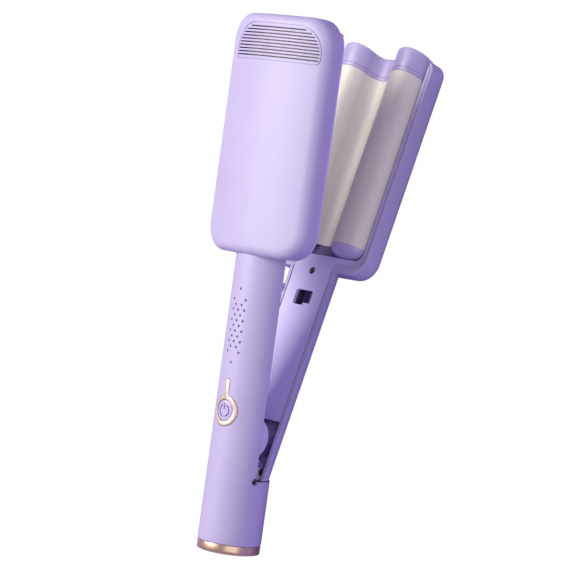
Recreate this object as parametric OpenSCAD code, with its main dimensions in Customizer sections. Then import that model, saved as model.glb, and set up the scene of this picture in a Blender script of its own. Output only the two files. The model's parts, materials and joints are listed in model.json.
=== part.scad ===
// Two-armed hair waver that lies open on its back.
// Each arm is drawn closed, lying along +X from the tail, with the other arm's side facing z = 0:
// the front arm fills z > 0 and the rear arm z < 0. on_front_arm() and on_rear_arm() then place them.

/* [Overall] */
// Diameter of the round grip
grip_d = 36; // [33:0.5:42]
// Length from the tail ring to the far end of the heads
arm_l = 301; // [285:1:330]
// Length of each head
head_l = 134; // [124:1:144]
// Width of each head
head_w = 77; // [76:1:90]
// Angle between the arms at the open stop
open_angle = 16; // [10:1:20]
// Gap between the rims of the two arms when they are closed
arm_gap = 6.8; // [5:0.2:9]
// How much shorter the rear head's shell is than the front one's
rear_short = 2.5; // [1:0.5:4]
// Lean of the plates' far ends, out towards the other arm
end_lean = 20; // [10:1:25]

/* [Shells] */
// Wall of the plastic shells
wall = 2.2; // [1.8:0.1:2.6]
// Thickness of the two inner panels
panel_t = 2; // [1.6:0.1:2.4]
// Height of the front head's face over the middle plane
front_crest = 21; // [19:0.5:23]
// Radius of the front face's crown
front_crown_r = 100; // [90:5:200]
// Depth of the rear head's back under the middle plane
rear_crest = 19.2; // [18.5:0.2:23]
// Radius of the rear back's crown
rear_crown_r = 400; // [250:10:600]
// Radius where a face turns into the side
shoulder_r = 5; // [3:0.5:6]
// Radius where a face turns into a head's end
end_r = 5; // [3:0.5:7]
// Plan radius of the front head's corners
front_corner_r = 16; // [12:0.5:20]
// Plan radius of the rear head's corners at the handle
rear_corner_r = 12; // [8:0.5:16]
// Plan radius of the rear head's corners at the far end
rear_tip_r = 7; // [5:0.5:12]

/* [Wave plates] */
// Distance from ridge to ridge
wave_pitch = 42; // [41:0.5:43]
// Radius of a ridge's metal face
ridge_r = 13; // [12.5:0.1:13.2]
// Gap for the hair between the closed plates
hair_gap = 0.8; // [0.6:0.1:1.2]
// Thickness of the plates
plate_t = 1.6; // [1.2:0.1:2]
// Length of the metal plates
plate_l = 104.6; // [90:0.2:108]
// Depth of the plates' feet from the middle plane
foot_depth = 8.5; // [8:0.1:9]
// Thickness of the plate carriers
carrier_t = 2; // [1.5:0.1:2.5]
// Length of the far end caps at the middle plane
cap_l = 14.4; // [10:0.2:18]
// Length of the near end caps
near_cap_l = 6; // [4:0.2:8]

/* [Grille and vents] */
// Number of slots in the head's grille
slot_n = 10; // [6:1:12]
// Distance from slot to slot
slot_pitch = 1.8; // [1.6:0.1:2]
// Width of a slot
slot_w = 0.9; // [0.6:0.1:1.1]
// Diameter of the vent holes in the handle
vent_d = 1.5; // [1:0.1:2]
// Distance from row to row of the vent holes
vent_pitch = 5.9; // [5:0.1:6.5]

/* [Button] */
// Diameter of the power button
button_d = 11.8; // [10:0.2:12.4]
// Outside diameter of the button's trim ring
trim_d = 17.2; // [16:0.2:18]
// Height of the trim over the handle
trim_rise = 0.35; // [0.2:0.05:0.6]
// Travel of the power button
button_travel = 0.7; // [0.4:0.1:0.9]
// Distance from the tail to the button
button_x = 79.3; // [76:0.1:84]

/* [Hinge] */
// Distance from the tail to the mouth of the full tube
mouth_x = 42; // [40:0.5:46]
// Diameter of the hinge pin
pin_d = 4; // [3:0.1:5]
// Turning clearance round the pin, on the radius
pin_play = 0.05; // [0.03:0.01:0.08]
// Wire of the hinge spring
spring_wire = 1.2; // [0.8:0.1:1.4]
// Turns of the hinge spring
spring_turns = 6; // [4:1:7]

/* [Lock] */
// Distance from the tail to the lock's window
lock_x = 149.7; // [140:0.1:152]
// Travel of the lock slider
lock_travel = 3; // [2:0.1:3.4]

/* [Tail] */
// Height of the metal ring at the tail
ring_h = 5.1; // [4:0.1:7]
// Diameter of the power cord
cord_d = 6.4; // [5.5:0.1:7]

/* [Hidden] */
$fn = 64;

lavender = [0.84, 0.79, 0.94];
deep_lavender = [0.70, 0.63, 0.86];
satin_metal = [0.74, 0.72, 0.72];
rose_gold = [0.80, 0.66, 0.54];
steel = [0.72, 0.73, 0.75];
mica = [0.86, 0.82, 0.72];
board_green = [0.12, 0.38, 0.25];
wire_red = [0.75, 0.20, 0.18];

cut = 1;               // extra reach of a cutting tool
seat = 0.1;            // clearance round a piece that is fixed in a pocket
shade = 0.3;           // gap between a fixed piece and a curved face under it

grip_r = grip_d / 2;
bore_r = grip_r - wall;
half_gap = arm_gap / 2;
head_x0 = arm_l - head_l;
head_x1 = arm_l;
rear_x1 = arm_l - rear_short;
half_w = head_w / 2;
face_big = 400;        // larger than the whole object
round_steps = 5;       // steps round a shoulder or a head's end
crown_steps = 12;      // steps across a crown

// Hinge: the pin crosses the arms just past the tube's mouth, a little towards the rear
hinge_x = mouth_x + 5;
hinge_z = -4;
ear_r = 6;
knuckle_r = 5;
ear_y0 = 6.4;
ear_y1 = 9.9;
knuckle_y0 = 10.2;
knuckle_y1 = 13.4;
pin_l = 2 * knuckle_y1 + 0.8;
stop_gap = 0.6;        // left between the rear shell and the mouth at the open stop

// Wave: ridges and valleys take turns, and each pair of arcs is tangent
valley_r = ridge_r + hair_gap;
wave_rise = sqrt(pow(ridge_r + valley_r, 2) - pow(wave_pitch / 2, 2));
crest_z = ridge_r - wave_rise / 2;
valley_z = wave_rise / 2 - valley_r;
plate_x1 = head_x1 - cap_l;
plate_x0 = plate_x1 - plate_l;
cap_slab = 1;
near_slope = 28;
dome_blunt = 0.25;     // share of a near dome's radius that its end keeps
carrier_y = 35;
carrier_z = foot_depth + carrier_t;
carrier_r = front_corner_r - wall - 2;
carrier_x0 = plate_x0 - near_cap_l - 2;
carrier_x1 = rear_x1 - wall - 1;
wave_steps = 14;
lip_y = 33;            // half width of the front jaw's wave
post_y = 20;
post_r = 3;
post_hole_r = 1.4;
post_short = 1;        // the front posts end this far under the crown's height
post_x = [plate_x0 + 10, plate_x1 - 26];

// Resting place: the tail ring's lower edge and the rear head's far edge both touch z = 0
ring_r = grip_r - 0.2;
ring_edge = 0.5;
grip_edge = 0.8;       // bevel round the grip's tail end
tail_dx = ring_edge - hinge_x;
tail_dz = -ring_r - hinge_z;
tail_x = hinge_x + tail_dx * cos(open_angle) - tail_dz * sin(open_angle);
tail_z = hinge_z + tail_dx * sin(open_angle) + tail_dz * cos(open_angle);
toe_x = rear_x1 - end_r;
toe_z = -rear_crest + end_r;
rest_run = toe_x - tail_x;
rest_drop = tail_z - toe_z;
rest_pitch = asin(-end_r / norm([rest_run, rest_drop])) - atan2(rest_drop, rest_run);
rest_lift = tail_x * sin(rest_pitch) - tail_z * cos(rest_pitch);
lean = open_angle - rest_pitch;
pivot_x = hinge_x * cos(rest_pitch) + hinge_z * sin(rest_pitch);
back_x = pivot_x - hinge_x * cos(lean) - (ring_r - ring_edge - hinge_z) * sin(lean);
tip_x = head_x1 + crest_z * tan(end_lean);
fore_x = tip_x * cos(rest_pitch) + crest_z * sin(rest_pitch);
mid_x = (back_x + fore_x) / 2;

// Panels
panel_y = sqrt(pow(bore_r, 2) - pow(half_gap + panel_t, 2)) - seat;
frame_y = half_w - wall - seat;
frame_open_y = wave_pitch / 2 + ridge_r + 5 * seat;
frame_open_x0 = plate_x0 - near_cap_l - 0.3;
frame_open_r = 5;
rim_x0 = head_x0 + 5.2;
rim_fillet = 4;
flange_t = 2;
flange_in = 0.8;
rear_panel_x0 = mouth_x + 35;
hood_x = mouth_x + 24;
hood_z = half_gap + 1.6;
hood_r = 11.5;
hood_y = 13;
hood_wall = 2;

// Lock
window_l = 9;
window_w = 13;
window_x0 = lock_x - window_l / 2;
hook_w = 8;
hook_tip_z = -12.4;
hook_x1 = window_x0 + window_l - 1;
hook_t = 2;
hook_back = 6;         // how far the hook's base reaches behind and before it
hook_front = 2;
lip_t = 1;
barb_l = 3;
barb_h = 2;
catch_x1 = hook_x1 - hook_t - barb_l - 0.6;
catch_l = 3;
catch_w = 8;
catch_t = 1.5;
catch_top = hook_tip_z + barb_h + 2;
slider_x = catch_x1 - catch_l / 2;
notch_r = 1.4;
slider_plate_z0 = -14.6;
slider_plate_z1 = -13;
slider_neck_l = 5;
slider_neck_w = 4;
slot_play = 0.3;
screw_x = head_x0 - 1;
front_screw_x = 126;
screw_r = 1.3;
screw_head_r = 2.2;
screw_head_h = 1.1;
screw_sink = 0.5;
boss_r = 3.4;

// Handle fittings
trim_recess = 0.8;
trim_stem_w = 2.8;
trim_stem_x = button_x + 18.2;
button_r = button_d / 2;
button_play = 0.1;
flange_r = button_r + 1.3;
flange_top = sqrt(pow(bore_r, 2) - pow(flange_r, 2)) - 0.3;
button_flange_t = 1.2;
mark_depth = 0.5;
grille_x = 7.5;
grille_half = 29.5;
grille_corner = 14;
board_x0 = 58;
board_x1 = 124;
board_z = 6.4;
board_w = 22;
board_t = 1.6;
switch_top = flange_top - button_flange_t - button_travel - 0.1;
vent_x = 118.3;
vent_col = 2.2;
through_depth = wall + cut;
dimple_depth = 1.1;
terminal_x = board_x1 - 12;
terminal_w = 15;
terminal_h = 5.4;
lead_r = 0.9;
lead_z = 12.3;

// Tail fittings
spigot_l = 7;
cap_r = ring_r - 3;
swivel_r = 5;
swivel_play = 0.06;
swivel_l = 16;
swivel_flange_r = 7.2;
swivel_face = 0.6;

// ---- placing ----

module on_rear_arm() {
    translate([-mid_x, 0, rest_lift]) rotate([0, rest_pitch, 0]) children();
}

module on_front_arm() {
    on_rear_arm()
        translate([hinge_x, 0, hinge_z])
            rotate([0, -open_angle, 0])
                translate([-hinge_x, 0, -hinge_z])
                    children();
}

// Turns a piece that is drawn with its back down over, for the front arm
module turned_over() {
    rotate([180, 0, 0]) children();
}

// ---- shared shapes ----

// Extrudes a section drawn in (y, z) from x0 to x1
module along_x(x0, x1) {
    translate([x0, 0, 0]) rotate([90, 0, 90]) linear_extrude(x1 - x0) children();
}

// Extrudes an outline drawn in (x, z) from -w/2 to w/2
module across_y(w) {
    rotate([90, 0, 0]) linear_extrude(w, center = true) children();
}

module x_rod(x0, x1, r) {
    translate([x0, 0, 0]) rotate([0, 90, 0]) cylinder(h = x1 - x0, r = r);
}

module y_rod(x, z, y0, y1, r) {
    translate([x, y1, z]) rotate([90, 0, 0]) cylinder(h = y1 - y0, r = r);
}

// A box given by its lowest and highest corners
module span(low, high) {
    translate(low) cube(high - low);
}

// Rectangle from (x0, -w/2) to (x1, w/2) with one radius at each end
module plan(x0, x1, w, r0, r1) {
    translate([x0 + r0, -w / 2]) square([x1 - x0 - r0 - r1, w]);
    translate([x0, -w / 2 + r0]) square([2 * r0, w - 2 * r0]);
    translate([x1 - 2 * r1, -w / 2 + r1]) square([2 * r1, w - 2 * r1]);
    for (side = [-1, 1]) {
        translate([x0 + r0, side * (w / 2 - r0)]) circle(r0);
        translate([x1 - r1, side * (w / 2 - r1)]) circle(r1);
    }
}

// Head section in (y, z): straight sides, round shoulders tangent to a wide crown
module crowned_section(half, crest, crown, shoulder, base) {
    hub = crest - crown;
    shoulder_z = hub + sqrt(pow(crown - shoulder, 2) - pow(half - shoulder, 2));
    touch = asin((half - shoulder) / (crown - shoulder));
    n = round_steps;
    right = [for (k = [0 : n]) let(a = k * (90 - touch) / n)
             [half - shoulder + shoulder * cos(a), shoulder_z + shoulder * sin(a)]];
    top = [for (k = [1 : crown_steps - 1]) let(a = 90 - touch + k * 2 * touch / crown_steps)
           [crown * cos(a), hub + crown * sin(a)]];
    polygon(concat([[half, base]], right, top, [for (k = [n : -1 : 0]) [-right[k][0], right[k][1]]],
                   [[-half, base]]));
}

// Head profile in (x, z): the face turns down at both ends
module head_profile(x0, x1, crest, r, base) {
    n = round_steps;
    arc = [for (k = [0 : n]) r * [cos(90 * k / n), sin(90 * k / n)]];
    polygon(concat([[x1, base]],
                   [for (p = arc) [x1 - r + p[0], crest - r + p[1]]],
                   [for (k = [n : -1 : 0]) [x0 + r - arc[k][0], crest - r + arc[k][1]]],
                   [[x0, base]]));
}

// Solid head, open side down, shrunk by t on every wall
module head_block(x1, t, crest, crown, r0, r1, base) {
    intersection() {
        along_x(head_x0 + t, x1 - t)
            crowned_section(half_w - t, crest - t, crown - t, shoulder_r - t, base);
        across_y(head_w + cut)
            head_profile(head_x0 + t, x1 - t, crest - t, end_r - t, base);
        translate([0, 0, base])
            linear_extrude(crest)
                plan(head_x0 + t, x1 - t, head_w - 2 * t, r0 - t, r1 - t);
    }
}

// ---- wave profile, drawn with its solid side below ----
// Arc 1 lies in the middle, arcs 0 and 2 half a pitch to each side. The rear jaw (jaw = 1) has
// ridges at 0 and 2, the front jaw (jaw = -1) has one at 1, which closes into the rear's valley.

function is_ridge(i, jaw) = (i % 2 == 0) == (jaw > 0);

function ridges(jaw) = jaw > 0 ? [0, 2] : [1];

function wave_centre(i, jaw) =
    [(i - 1) * wave_pitch / 2, (is_ridge(i, jaw) ? -1 : 1) * wave_rise / 2];

// Radius of arc i on a face that lies inset below the metal's outside
function arc_r(i, jaw, inset) = is_ridge(i, jaw) ? ridge_r - inset : valley_r + inset;

// Point where arc i meets arc i + 1
function wave_touch(i, jaw, inset) =
    let(a = wave_centre(i, jaw), b = wave_centre(i + 1, jaw))
    a + (b - a) * arc_r(i, jaw, inset) / norm(b - a);

// Half width of the wave
function wave_edge(jaw, inset) = (jaw > 0 ? wave_pitch / 2 + ridge_r : lip_y) - inset;

// Left end of arc 0
function wave_start(jaw, inset) =
    let(c = wave_centre(0, jaw), y = -wave_edge(jaw, inset), r = arc_r(0, jaw, inset))
    [y, c[1] - sqrt(max(0, pow(r, 2) - pow(y - c[0], 2)))];

// Points from the left end of arc 0 to the middle of arc 1
function wave_half(jaw, inset) =
    let(c0 = wave_centre(0, jaw), c1 = wave_centre(1, jaw), n = wave_steps)
    let(p = wave_start(jaw, inset) - c0, q = wave_touch(0, jaw, inset))
    let(a0 = jaw > 0 ? 180 : atan2(p[1], p[0]), a1 = atan2(q[1] - c0[1], q[0] - c0[0]))
    let(b0 = atan2(q[1] - c1[1], q[0] - c1[0]), b1 = jaw > 0 ? -90 : 90)
    concat([for (k = [0 : n]) let(a = a0 + (a1 - a0) * k / n)
            c0 + arc_r(0, jaw, inset) * [cos(a), sin(a)]],
           [for (k = [1 : n / 2]) let(b = b0 + (b1 - b0) * k / (n / 2))
            c1 + arc_r(1, jaw, inset) * [cos(b), sin(b)]]);

module wave_section(jaw, inset, base) {
    half = wave_half(jaw, inset);
    last = len(half) - 1;
    edge = wave_edge(jaw, inset);
    polygon(concat([[-edge, base]], half,
                   [for (k = [last - 1 : -1 : 0]) [-half[k][0], half[k][1]]], [[edge, base]]));
}

// Drum about -X, whose edge is a quarter of an ellipse down to its blunt end
module dome(r, h) {
    blunt = dome_blunt * r;
    rotate([0, -90, 0]) rotate_extrude()
        polygon(concat([[0, 0]],
                       [for (a = [0 : 15 : 90]) [blunt + (r - blunt) * cos(a), h * sin(a)]],
                       [[0, h]]));
}

module wave_plate(jaw) {
    along_x(plate_x0, plate_x1) difference() {
        wave_section(jaw, 0, -foot_depth);
        wave_section(jaw, plate_t, -foot_depth - cut);
    }
}

// The wave runs on past the metal to an end face that leans out
module far_cap(jaw) {
    intersection() {
        along_x(plate_x1, tip_x + cut) wave_section(jaw, 0, -foot_depth);
        translate([head_x1, 0, 0]) rotate([0, end_lean, 0])
            span([-face_big, -face_big, -face_big], [0, face_big, face_big]);
    }
}

// A slab of the full section, a slope down from its valleys, and a dome on each ridge
module near_cap(jaw) {
    along_x(plate_x0 - cap_slab, plate_x0) wave_section(jaw, 0, -foot_depth);
    intersection() {
        along_x(plate_x0 - near_cap_l, plate_x0 - cap_slab) wave_section(jaw, 0, -foot_depth);
        translate([plate_x0 - cap_slab, 0, valley_z]) rotate([0, -near_slope, 0])
            span([-face_big, -face_big, -face_big], [face_big, face_big, 0]);
    }
    intersection() {
        for (i = ridges(jaw))
            translate([plate_x0 - cap_slab, wave_centre(i, jaw)[0], wave_centre(i, jaw)[1]])
                dome(ridge_r - seat, near_cap_l - cap_slab);
        span([head_x0, -half_w, -foot_depth], [head_x1, half_w, ridge_r]);
    }
}

module plate_carrier() {
    difference() {
        translate([0, 0, -carrier_z])
            linear_extrude(carrier_t)
                plan(carrier_x0, carrier_x1, 2 * carrier_y, carrier_r, carrier_r);
        for (x = post_x, side = [-1, 1])
            translate([x, side * post_y, -carrier_z - cut])
                cylinder(h = carrier_t + 2 * cut, r = post_hole_r);
    }
}

heater_w = 8.6;
heater_h = 4.6;
heater_top = -wave_rise / 2 + sqrt(pow(ridge_r - plate_t, 2) - pow(heater_w / 2, 2)) - seat;
heater_end = 5;

module heater_bars(jaw) {
    for (i = ridges(jaw)) translate([0, wave_centre(i, jaw)[0], 0])
        span([plate_x0 + heater_end, -heater_w / 2, heater_top - heater_h],
             [plate_x1 - heater_end, heater_w / 2, heater_top]);
}

// Spring channels that press the heater bars up into the ridges
module heater_clamps(jaw) {
    channel_t = 1;
    flute_w = heater_w - 2 * channel_t;
    for (i = ridges(jaw)) translate([0, wave_centre(i, jaw)[0], 0]) difference() {
        span([plate_x0 + heater_end, -heater_w / 2, -foot_depth],
             [plate_x1 - heater_end, heater_w / 2, heater_top - heater_h]);
        span([plate_x0, -flute_w / 2, -foot_depth - cut],
             [plate_x1, flute_w / 2, heater_top - heater_h - channel_t]);
    }
}

// Posts that stand on a head's inner face and carry the plate carrier
module carrier_posts(floor_z) {
    for (x = post_x, side = [-1, 1])
        translate([x, side * post_y, carrier_z])
            cylinder(h = floor_z - carrier_z, r = post_r);
}

// ---- front arm ----

function vent_row(n, first, col) =
    [for (i = [0 : n - 1]) [first + i * vent_pitch, col]];

module vent_holes() {
    centre = vent_row(4, vent_x, 0);
    ends = [[vent_x - 2 * vent_pitch, 0], [vent_x + 5 * vent_pitch, 0]];
    inner = [for (side = [-1, 1]) each vent_row(5, vent_x - vent_pitch / 2, side * vent_col)];
    outer = [for (side = [-1, 1]) each vent_row(6, vent_x - vent_pitch, side * 2 * vent_col)];
    for (p = centre)
        translate([p[0], p[1], grip_r - through_depth])
            cylinder(h = through_depth + cut, d = vent_d, $fn = 24);
    for (p = concat(ends, inner, outer))
        translate([p[0], p[1], sqrt(pow(grip_r, 2) - pow(p[1], 2)) - dimple_depth])
            cylinder(h = dimple_depth + cut, d = vent_d, $fn = 24);
}

// Outline of the gold trim, seen from above
module trim_outline(grow) {
    translate([button_x, 0]) circle(d = trim_d + 2 * grow);
    translate([button_x, -trim_stem_w / 2 - grow])
        square([trim_stem_x - button_x, trim_stem_w + 2 * grow]);
    translate([trim_stem_x, 0]) circle(d = trim_stem_w + 2 * grow, $fn = 32);
}

module handle_shell() {
    color(lavender) on_front_arm() difference() {
        union() {
            translate([ring_h, 0, 0]) rotate([0, 90, 0])
                cylinder(h = grip_edge, r1 = grip_r - grip_edge, r2 = grip_r);
            x_rod(ring_h + grip_edge, mouth_x, grip_r);
            intersection() {
                x_rod(mouth_x - cut, head_x0 + wall, grip_r);
                span([mouth_x - cut, -grip_r, half_gap], [head_x0 + wall, grip_r, grip_r]);
            }
        }
        x_rod(ring_h - cut, head_x0 + wall + cut, bore_r);
        y_rod(mouth_x, half_gap, -grip_r - cut, grip_r + cut, notch_r);
        intersection() {
            difference() {
                x_rod(button_x - trim_d, trim_stem_x + trim_d, grip_r + cut);
                x_rod(button_x - trim_d - cut, trim_stem_x + trim_d + cut, grip_r - trim_recess);
            }
            linear_extrude(grip_r + cut) trim_outline(seat);
        }
        translate([button_x, 0, 0]) cylinder(h = grip_r + cut, r = button_r + button_play);
        vent_holes();
    }
}

// Slots cut side to side, whose ends follow the grille's round corners
module grille_slots() {
    for (i = [0 : slot_n - 1]) {
        depth = 2 + i * slot_pitch;
        bend = max(0, grille_corner - depth);
        reach = grille_half - grille_corner + sqrt(pow(grille_corner, 2) - pow(bend, 2));
        x = head_x1 - grille_x - i * slot_pitch;
        translate([x - slot_w / 2, -reach, half_gap + wall])
            cube([slot_w, 2 * reach, front_crest]);
    }
}

module front_head_cover() {
    color(lavender) on_front_arm() difference() {
        union() {
            difference() {
                head_block(head_x1, 0, front_crest, front_crown_r, front_corner_r, front_corner_r,
                           half_gap);
                head_block(head_x1, wall, front_crest, front_crown_r, front_corner_r,
                           front_corner_r, half_gap - cut);
            }
            carrier_posts(front_crest - wall - post_short);
        }
        x_rod(head_x0 - cut, head_x0 + wall + seat, grip_r + seat);
        grille_slots();
        for (i = ridges(1))
            translate([0, wave_centre(i, 1)[0], wave_centre(i, 1)[1]])
                x_rod(head_x1 - front_corner_r, head_x1 + cut, valley_r);
    }
}

// Ears that hold the pin, on the front panel
module front_ears() {
    for (side = [-1, 1]) {
        y0 = side > 0 ? ear_y0 : -ear_y1;
        difference() {
            union() {
                y_rod(hinge_x, hinge_z, y0, y0 + ear_y1 - ear_y0, ear_r);
                span([hinge_x - ear_r, y0, hinge_z],
                     [hinge_x + ear_r, y0 + ear_y1 - ear_y0, half_gap + cut]);
            }
            y_rod(hinge_x, hinge_z, -grip_r, grip_r, pin_d / 2 + 0.01);
        }
    }
}

// Round hood past the ears that covers the wires where they cross to the rear arm
module wire_hood() {
    difference() {
        y_rod(hood_x, hood_z, -hood_y, hood_y, hood_r);
        y_rod(hood_x, hood_z, -hood_y + hood_wall, hood_y - hood_wall, hood_r - hood_wall);
        span([0, -grip_r, half_gap + panel_t], [arm_l, grip_r, face_big]);
    }
}

module front_inner_panel() {
    color(deep_lavender) on_front_arm() {
        difference() {
            union() {
                span([hinge_x - ear_r, -panel_y, half_gap],
                     [head_x0 + 6, panel_y, half_gap + panel_t]);
                translate([0, 0, half_gap - flange_t])
                    linear_extrude(flange_t)
                        plan(head_x0 + flange_in, head_x1 - flange_in, head_w - 2 * flange_in,
                             front_corner_r - flange_in, front_corner_r - flange_in);
            }
            translate([0, 0, half_gap - flange_t - cut])
                linear_extrude(flange_t + panel_t + 2 * cut)
                    plan(frame_open_x0, head_x1 + cut, 2 * frame_open_y, frame_open_r, cut);
            y_rod(hood_x, hood_z, -hood_y + hood_wall, hood_y - hood_wall, hood_r - hood_wall);
            translate([front_screw_x, 0, 0]) cylinder(h = grip_r, r = screw_r + seat);
            span([hook_x1 - hook_back - seat, -hook_w / 2 - seat, 0],
                 [hook_x1 + hook_front + seat, hook_w / 2 + seat, half_gap + panel_t + cut]);
        }
        front_ears();
        wire_hood();
    }
}

module front_wave_plate() {
    color(satin_metal) on_front_arm() turned_over() wave_plate(-1);
}

// Everything past the front cover's inner walls, above its rim
module past_cover_walls() {
    inset = wall + seat;
    difference() {
        span([head_x0 - end_r, -head_w, half_gap], [head_x1 + end_r, head_w, front_crest]);
        linear_extrude(front_crest + cut)
            plan(head_x0 + inset, head_x1 - inset, head_w - 2 * inset,
                 front_corner_r - inset, front_corner_r - inset);
    }
}

module front_far_cap() {
    color(lavender) on_front_arm() difference() {
        turned_over() far_cap(-1);
        past_cover_walls();
    }
}

module front_near_cap() {
    color(lavender) on_front_arm() difference() {
        turned_over() near_cap(-1);
        past_cover_walls();
    }
}

module front_plate_carrier() {
    color(mica) on_front_arm() turned_over() plate_carrier();
}

module front_heaters() {
    color(steel) on_front_arm() turned_over() heater_bars(-1);
}

module front_heater_clamps() {
    color(satin_metal) on_front_arm() turned_over() heater_clamps(-1);
}

fuse_r = 1.8;
fuse_l = 11;
fuse_x = plate_x0 + 40;

module front_thermal_fuse() {
    color(steel) on_front_arm()
        translate([0, 0, carrier_z + fuse_r + seat])
            x_rod(fuse_x, fuse_x + fuse_l, fuse_r);
}

module front_heater_leads() {
    color(wire_red) on_front_arm()
        for (side = [-1, 1])
            translate([0, side * 5, lead_z]) x_rod(board_x1, plate_x0 + 6, lead_r);
}

// Cross-head screw whose head's face is at head_z and whose shank ends at tip
module panel_screw(x, head_z, tip) {
    up = tip > head_z ? 0 : 180;
    cross_l = 2.6;
    cross_w = 0.6;
    cross_depth = 0.8;
    translate([x, 0, head_z]) rotate([up, 0, 0]) difference() {
        union() {
            cylinder(h = screw_head_h, r = screw_head_r - seat);
            cylinder(h = abs(tip - head_z), r = screw_r);
        }
        for (turn = [0, 90])
            rotate([0, 0, turn])
                span([-cross_l / 2, -cross_w / 2, -cut], [cross_l / 2, cross_w / 2, cross_depth]);
    }
}

module front_panel_screw() {
    color(steel) on_front_arm()
        panel_screw(front_screw_x, half_gap - screw_head_h, half_gap + 6);
}

// Hook that drops through the rear panel's window when the arms close
module latch_hook() {
    shank_x0 = hook_x1 - hook_t;
    barb_x0 = shank_x0 - barb_l;
    barb_z1 = hook_tip_z + barb_h;
    barb_edge = 0.4;
    foot = half_gap + panel_t;
    lip = 1.5;
    color(deep_lavender) on_front_arm() across_y(hook_w)
        polygon([[hook_x1, hook_tip_z], [shank_x0 - 0.6, hook_tip_z],
                 [barb_x0, barb_z1 - barb_edge], [barb_x0, barb_z1],
                 [shank_x0, barb_z1], [shank_x0, half_gap],
                 [hook_x1 - hook_back, half_gap], [hook_x1 - hook_back, foot],
                 [hook_x1 - hook_back - lip, foot], [hook_x1 - hook_back - lip, foot + lip_t],
                 [hook_x1 + hook_front + lip, foot + lip_t], [hook_x1 + hook_front + lip, foot],
                 [hook_x1 + hook_front, foot], [hook_x1 + hook_front, half_gap],
                 [hook_x1, half_gap]]);
}

module control_board() {
    top = board_z + board_t;
    capacitor = [[board_x0 + 2, -8], [10, 12, 4.5]];
    chip = [[board_x0 + 32, -9], [8, 8, 1.2]];
    color(board_green) on_front_arm() {
        span([board_x0, -board_w / 2, board_z], [board_x1, board_w / 2, top]);
        span([terminal_x, -terminal_w / 2, top], [board_x1, terminal_w / 2, top + terminal_h]);
        for (block = [capacitor, chip])
            translate([block[0][0], block[0][1], top]) cube(block[1]);
        translate([board_x0 + 36, 5, top]) cylinder(h = 4, r = 3.5);
        for (x = [board_x0 + 2.5, board_x1 - 5.5])
            span([x, -8, half_gap + panel_t], [x + 3, 8, board_z]);
    }
}

module tact_switch() {
    color([0.15, 0.15, 0.16]) on_front_arm() {
        span([button_x - 3, -3, board_z + board_t], [button_x + 3, 3, switch_top - 1]);
        translate([button_x, 0, board_z + board_t])
            cylinder(h = switch_top - board_z - board_t, r = 1.7);
    }
}

module button_trim() {
    color(rose_gold) on_front_arm() intersection() {
        difference() {
            x_rod(button_x - trim_d, trim_stem_x + trim_d, grip_r + trim_rise);
            x_rod(button_x - trim_d - cut, trim_stem_x + trim_d + cut,
                  grip_r - trim_recess + seat / 2);
        }
        linear_extrude(grip_r + cut) difference() {
            trim_outline(0);
            translate([button_x, 0]) circle(r = button_r + button_play);
        }
    }
}

// Bar and open arc of a power symbol, seen from above with its bar towards the heads
module power_mark() {
    mark_r = 3.2;
    line_w = 0.7;
    opening_w = 2.6;
    bar_l = 2.8;
    difference() {
        circle(mark_r);
        circle(mark_r - line_w);
        translate([0, -opening_w / 2]) square([2 * mark_r, opening_w]);
    }
    translate([mark_r + 0.3 - bar_l, -line_w / 2]) square([bar_l, line_w]);
}

module power_button() {
    color(lavender) on_front_arm() difference() {
        union() {
            intersection() {
                translate([button_x, 0, flange_top - button_flange_t])
                    cylinder(h = grip_r, r = button_r);
                x_rod(button_x - grip_r, button_x + grip_r, grip_r + 0.1);
            }
            translate([button_x, 0, flange_top - button_flange_t])
                cylinder(h = button_flange_t, r = flange_r);
        }
        translate([button_x, 0, grip_r - mark_depth]) linear_extrude(2) power_mark();
    }
}

module tail_ring() {
    color(rose_gold) on_front_arm() rotate([0, 90, 0]) difference() {
        union() {
            translate([0, 0, ring_edge]) cylinder(h = ring_h - ring_edge, r = ring_r);
            cylinder(h = ring_edge, r1 = ring_r - ring_edge, r2 = ring_r);
        }
        translate([0, 0, -cut]) cylinder(h = ring_h + 2 * cut, r = cap_r + seat);
    }
}

module tail_cap() {
    color(deep_lavender) on_front_arm() difference() {
        union() {
            x_rod(swivel_face + 0.4, ring_h + wall, cap_r);
            x_rod(ring_h, ring_h + spigot_l, bore_r - seat);
        }
        x_rod(ring_h + wall, ring_h + spigot_l + cut, bore_r - wall);
        x_rod(-cut, ring_h + wall + cut, swivel_r + swivel_play);
    }
}

// Turning bush that the power cord leaves through
module cord_swivel() {
    flange_x = ring_h + wall + 0.1;
    color([0.25, 0.23, 0.28]) on_front_arm() difference() {
        union() {
            x_rod(swivel_face, swivel_l, swivel_r);
            x_rod(flange_x, flange_x + 1.6, swivel_flange_r);
        }
        x_rod(-cut, swivel_l + cut, cord_d / 2);
        difference() {
            x_rod(swivel_l - 3, swivel_l - 2, swivel_r + cut);
            x_rod(swivel_l - 3 - cut, swivel_l - 2 + cut, swivel_r - 0.6);
        }
    }
}

// Spring clip in the swivel's groove
module swivel_clip() {
    color(steel) on_front_arm() difference() {
        x_rod(swivel_l - 2.9, swivel_l - 2.1, swivel_r + 1.6);
        x_rod(swivel_l - 3 - cut, swivel_l, swivel_r - 0.55);
        span([swivel_l - 4, -1.5, 0], [swivel_l, 1.5, grip_r]);
    }
}

module hinge_pin() {
    color(steel) on_front_arm() y_rod(hinge_x, hinge_z, -pin_l / 2, pin_l / 2, pin_d / 2);
}

// Helical tube: rings of points along the coil, joined side to side
coil_r = pin_d / 2 + 0.5 + spring_wire / 2;
coil_pitch = spring_wire + 0.45;
coil_rings = spring_turns * 14;
coil_sides = 6;
coil_half = spring_turns * coil_pitch / 2;

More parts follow.
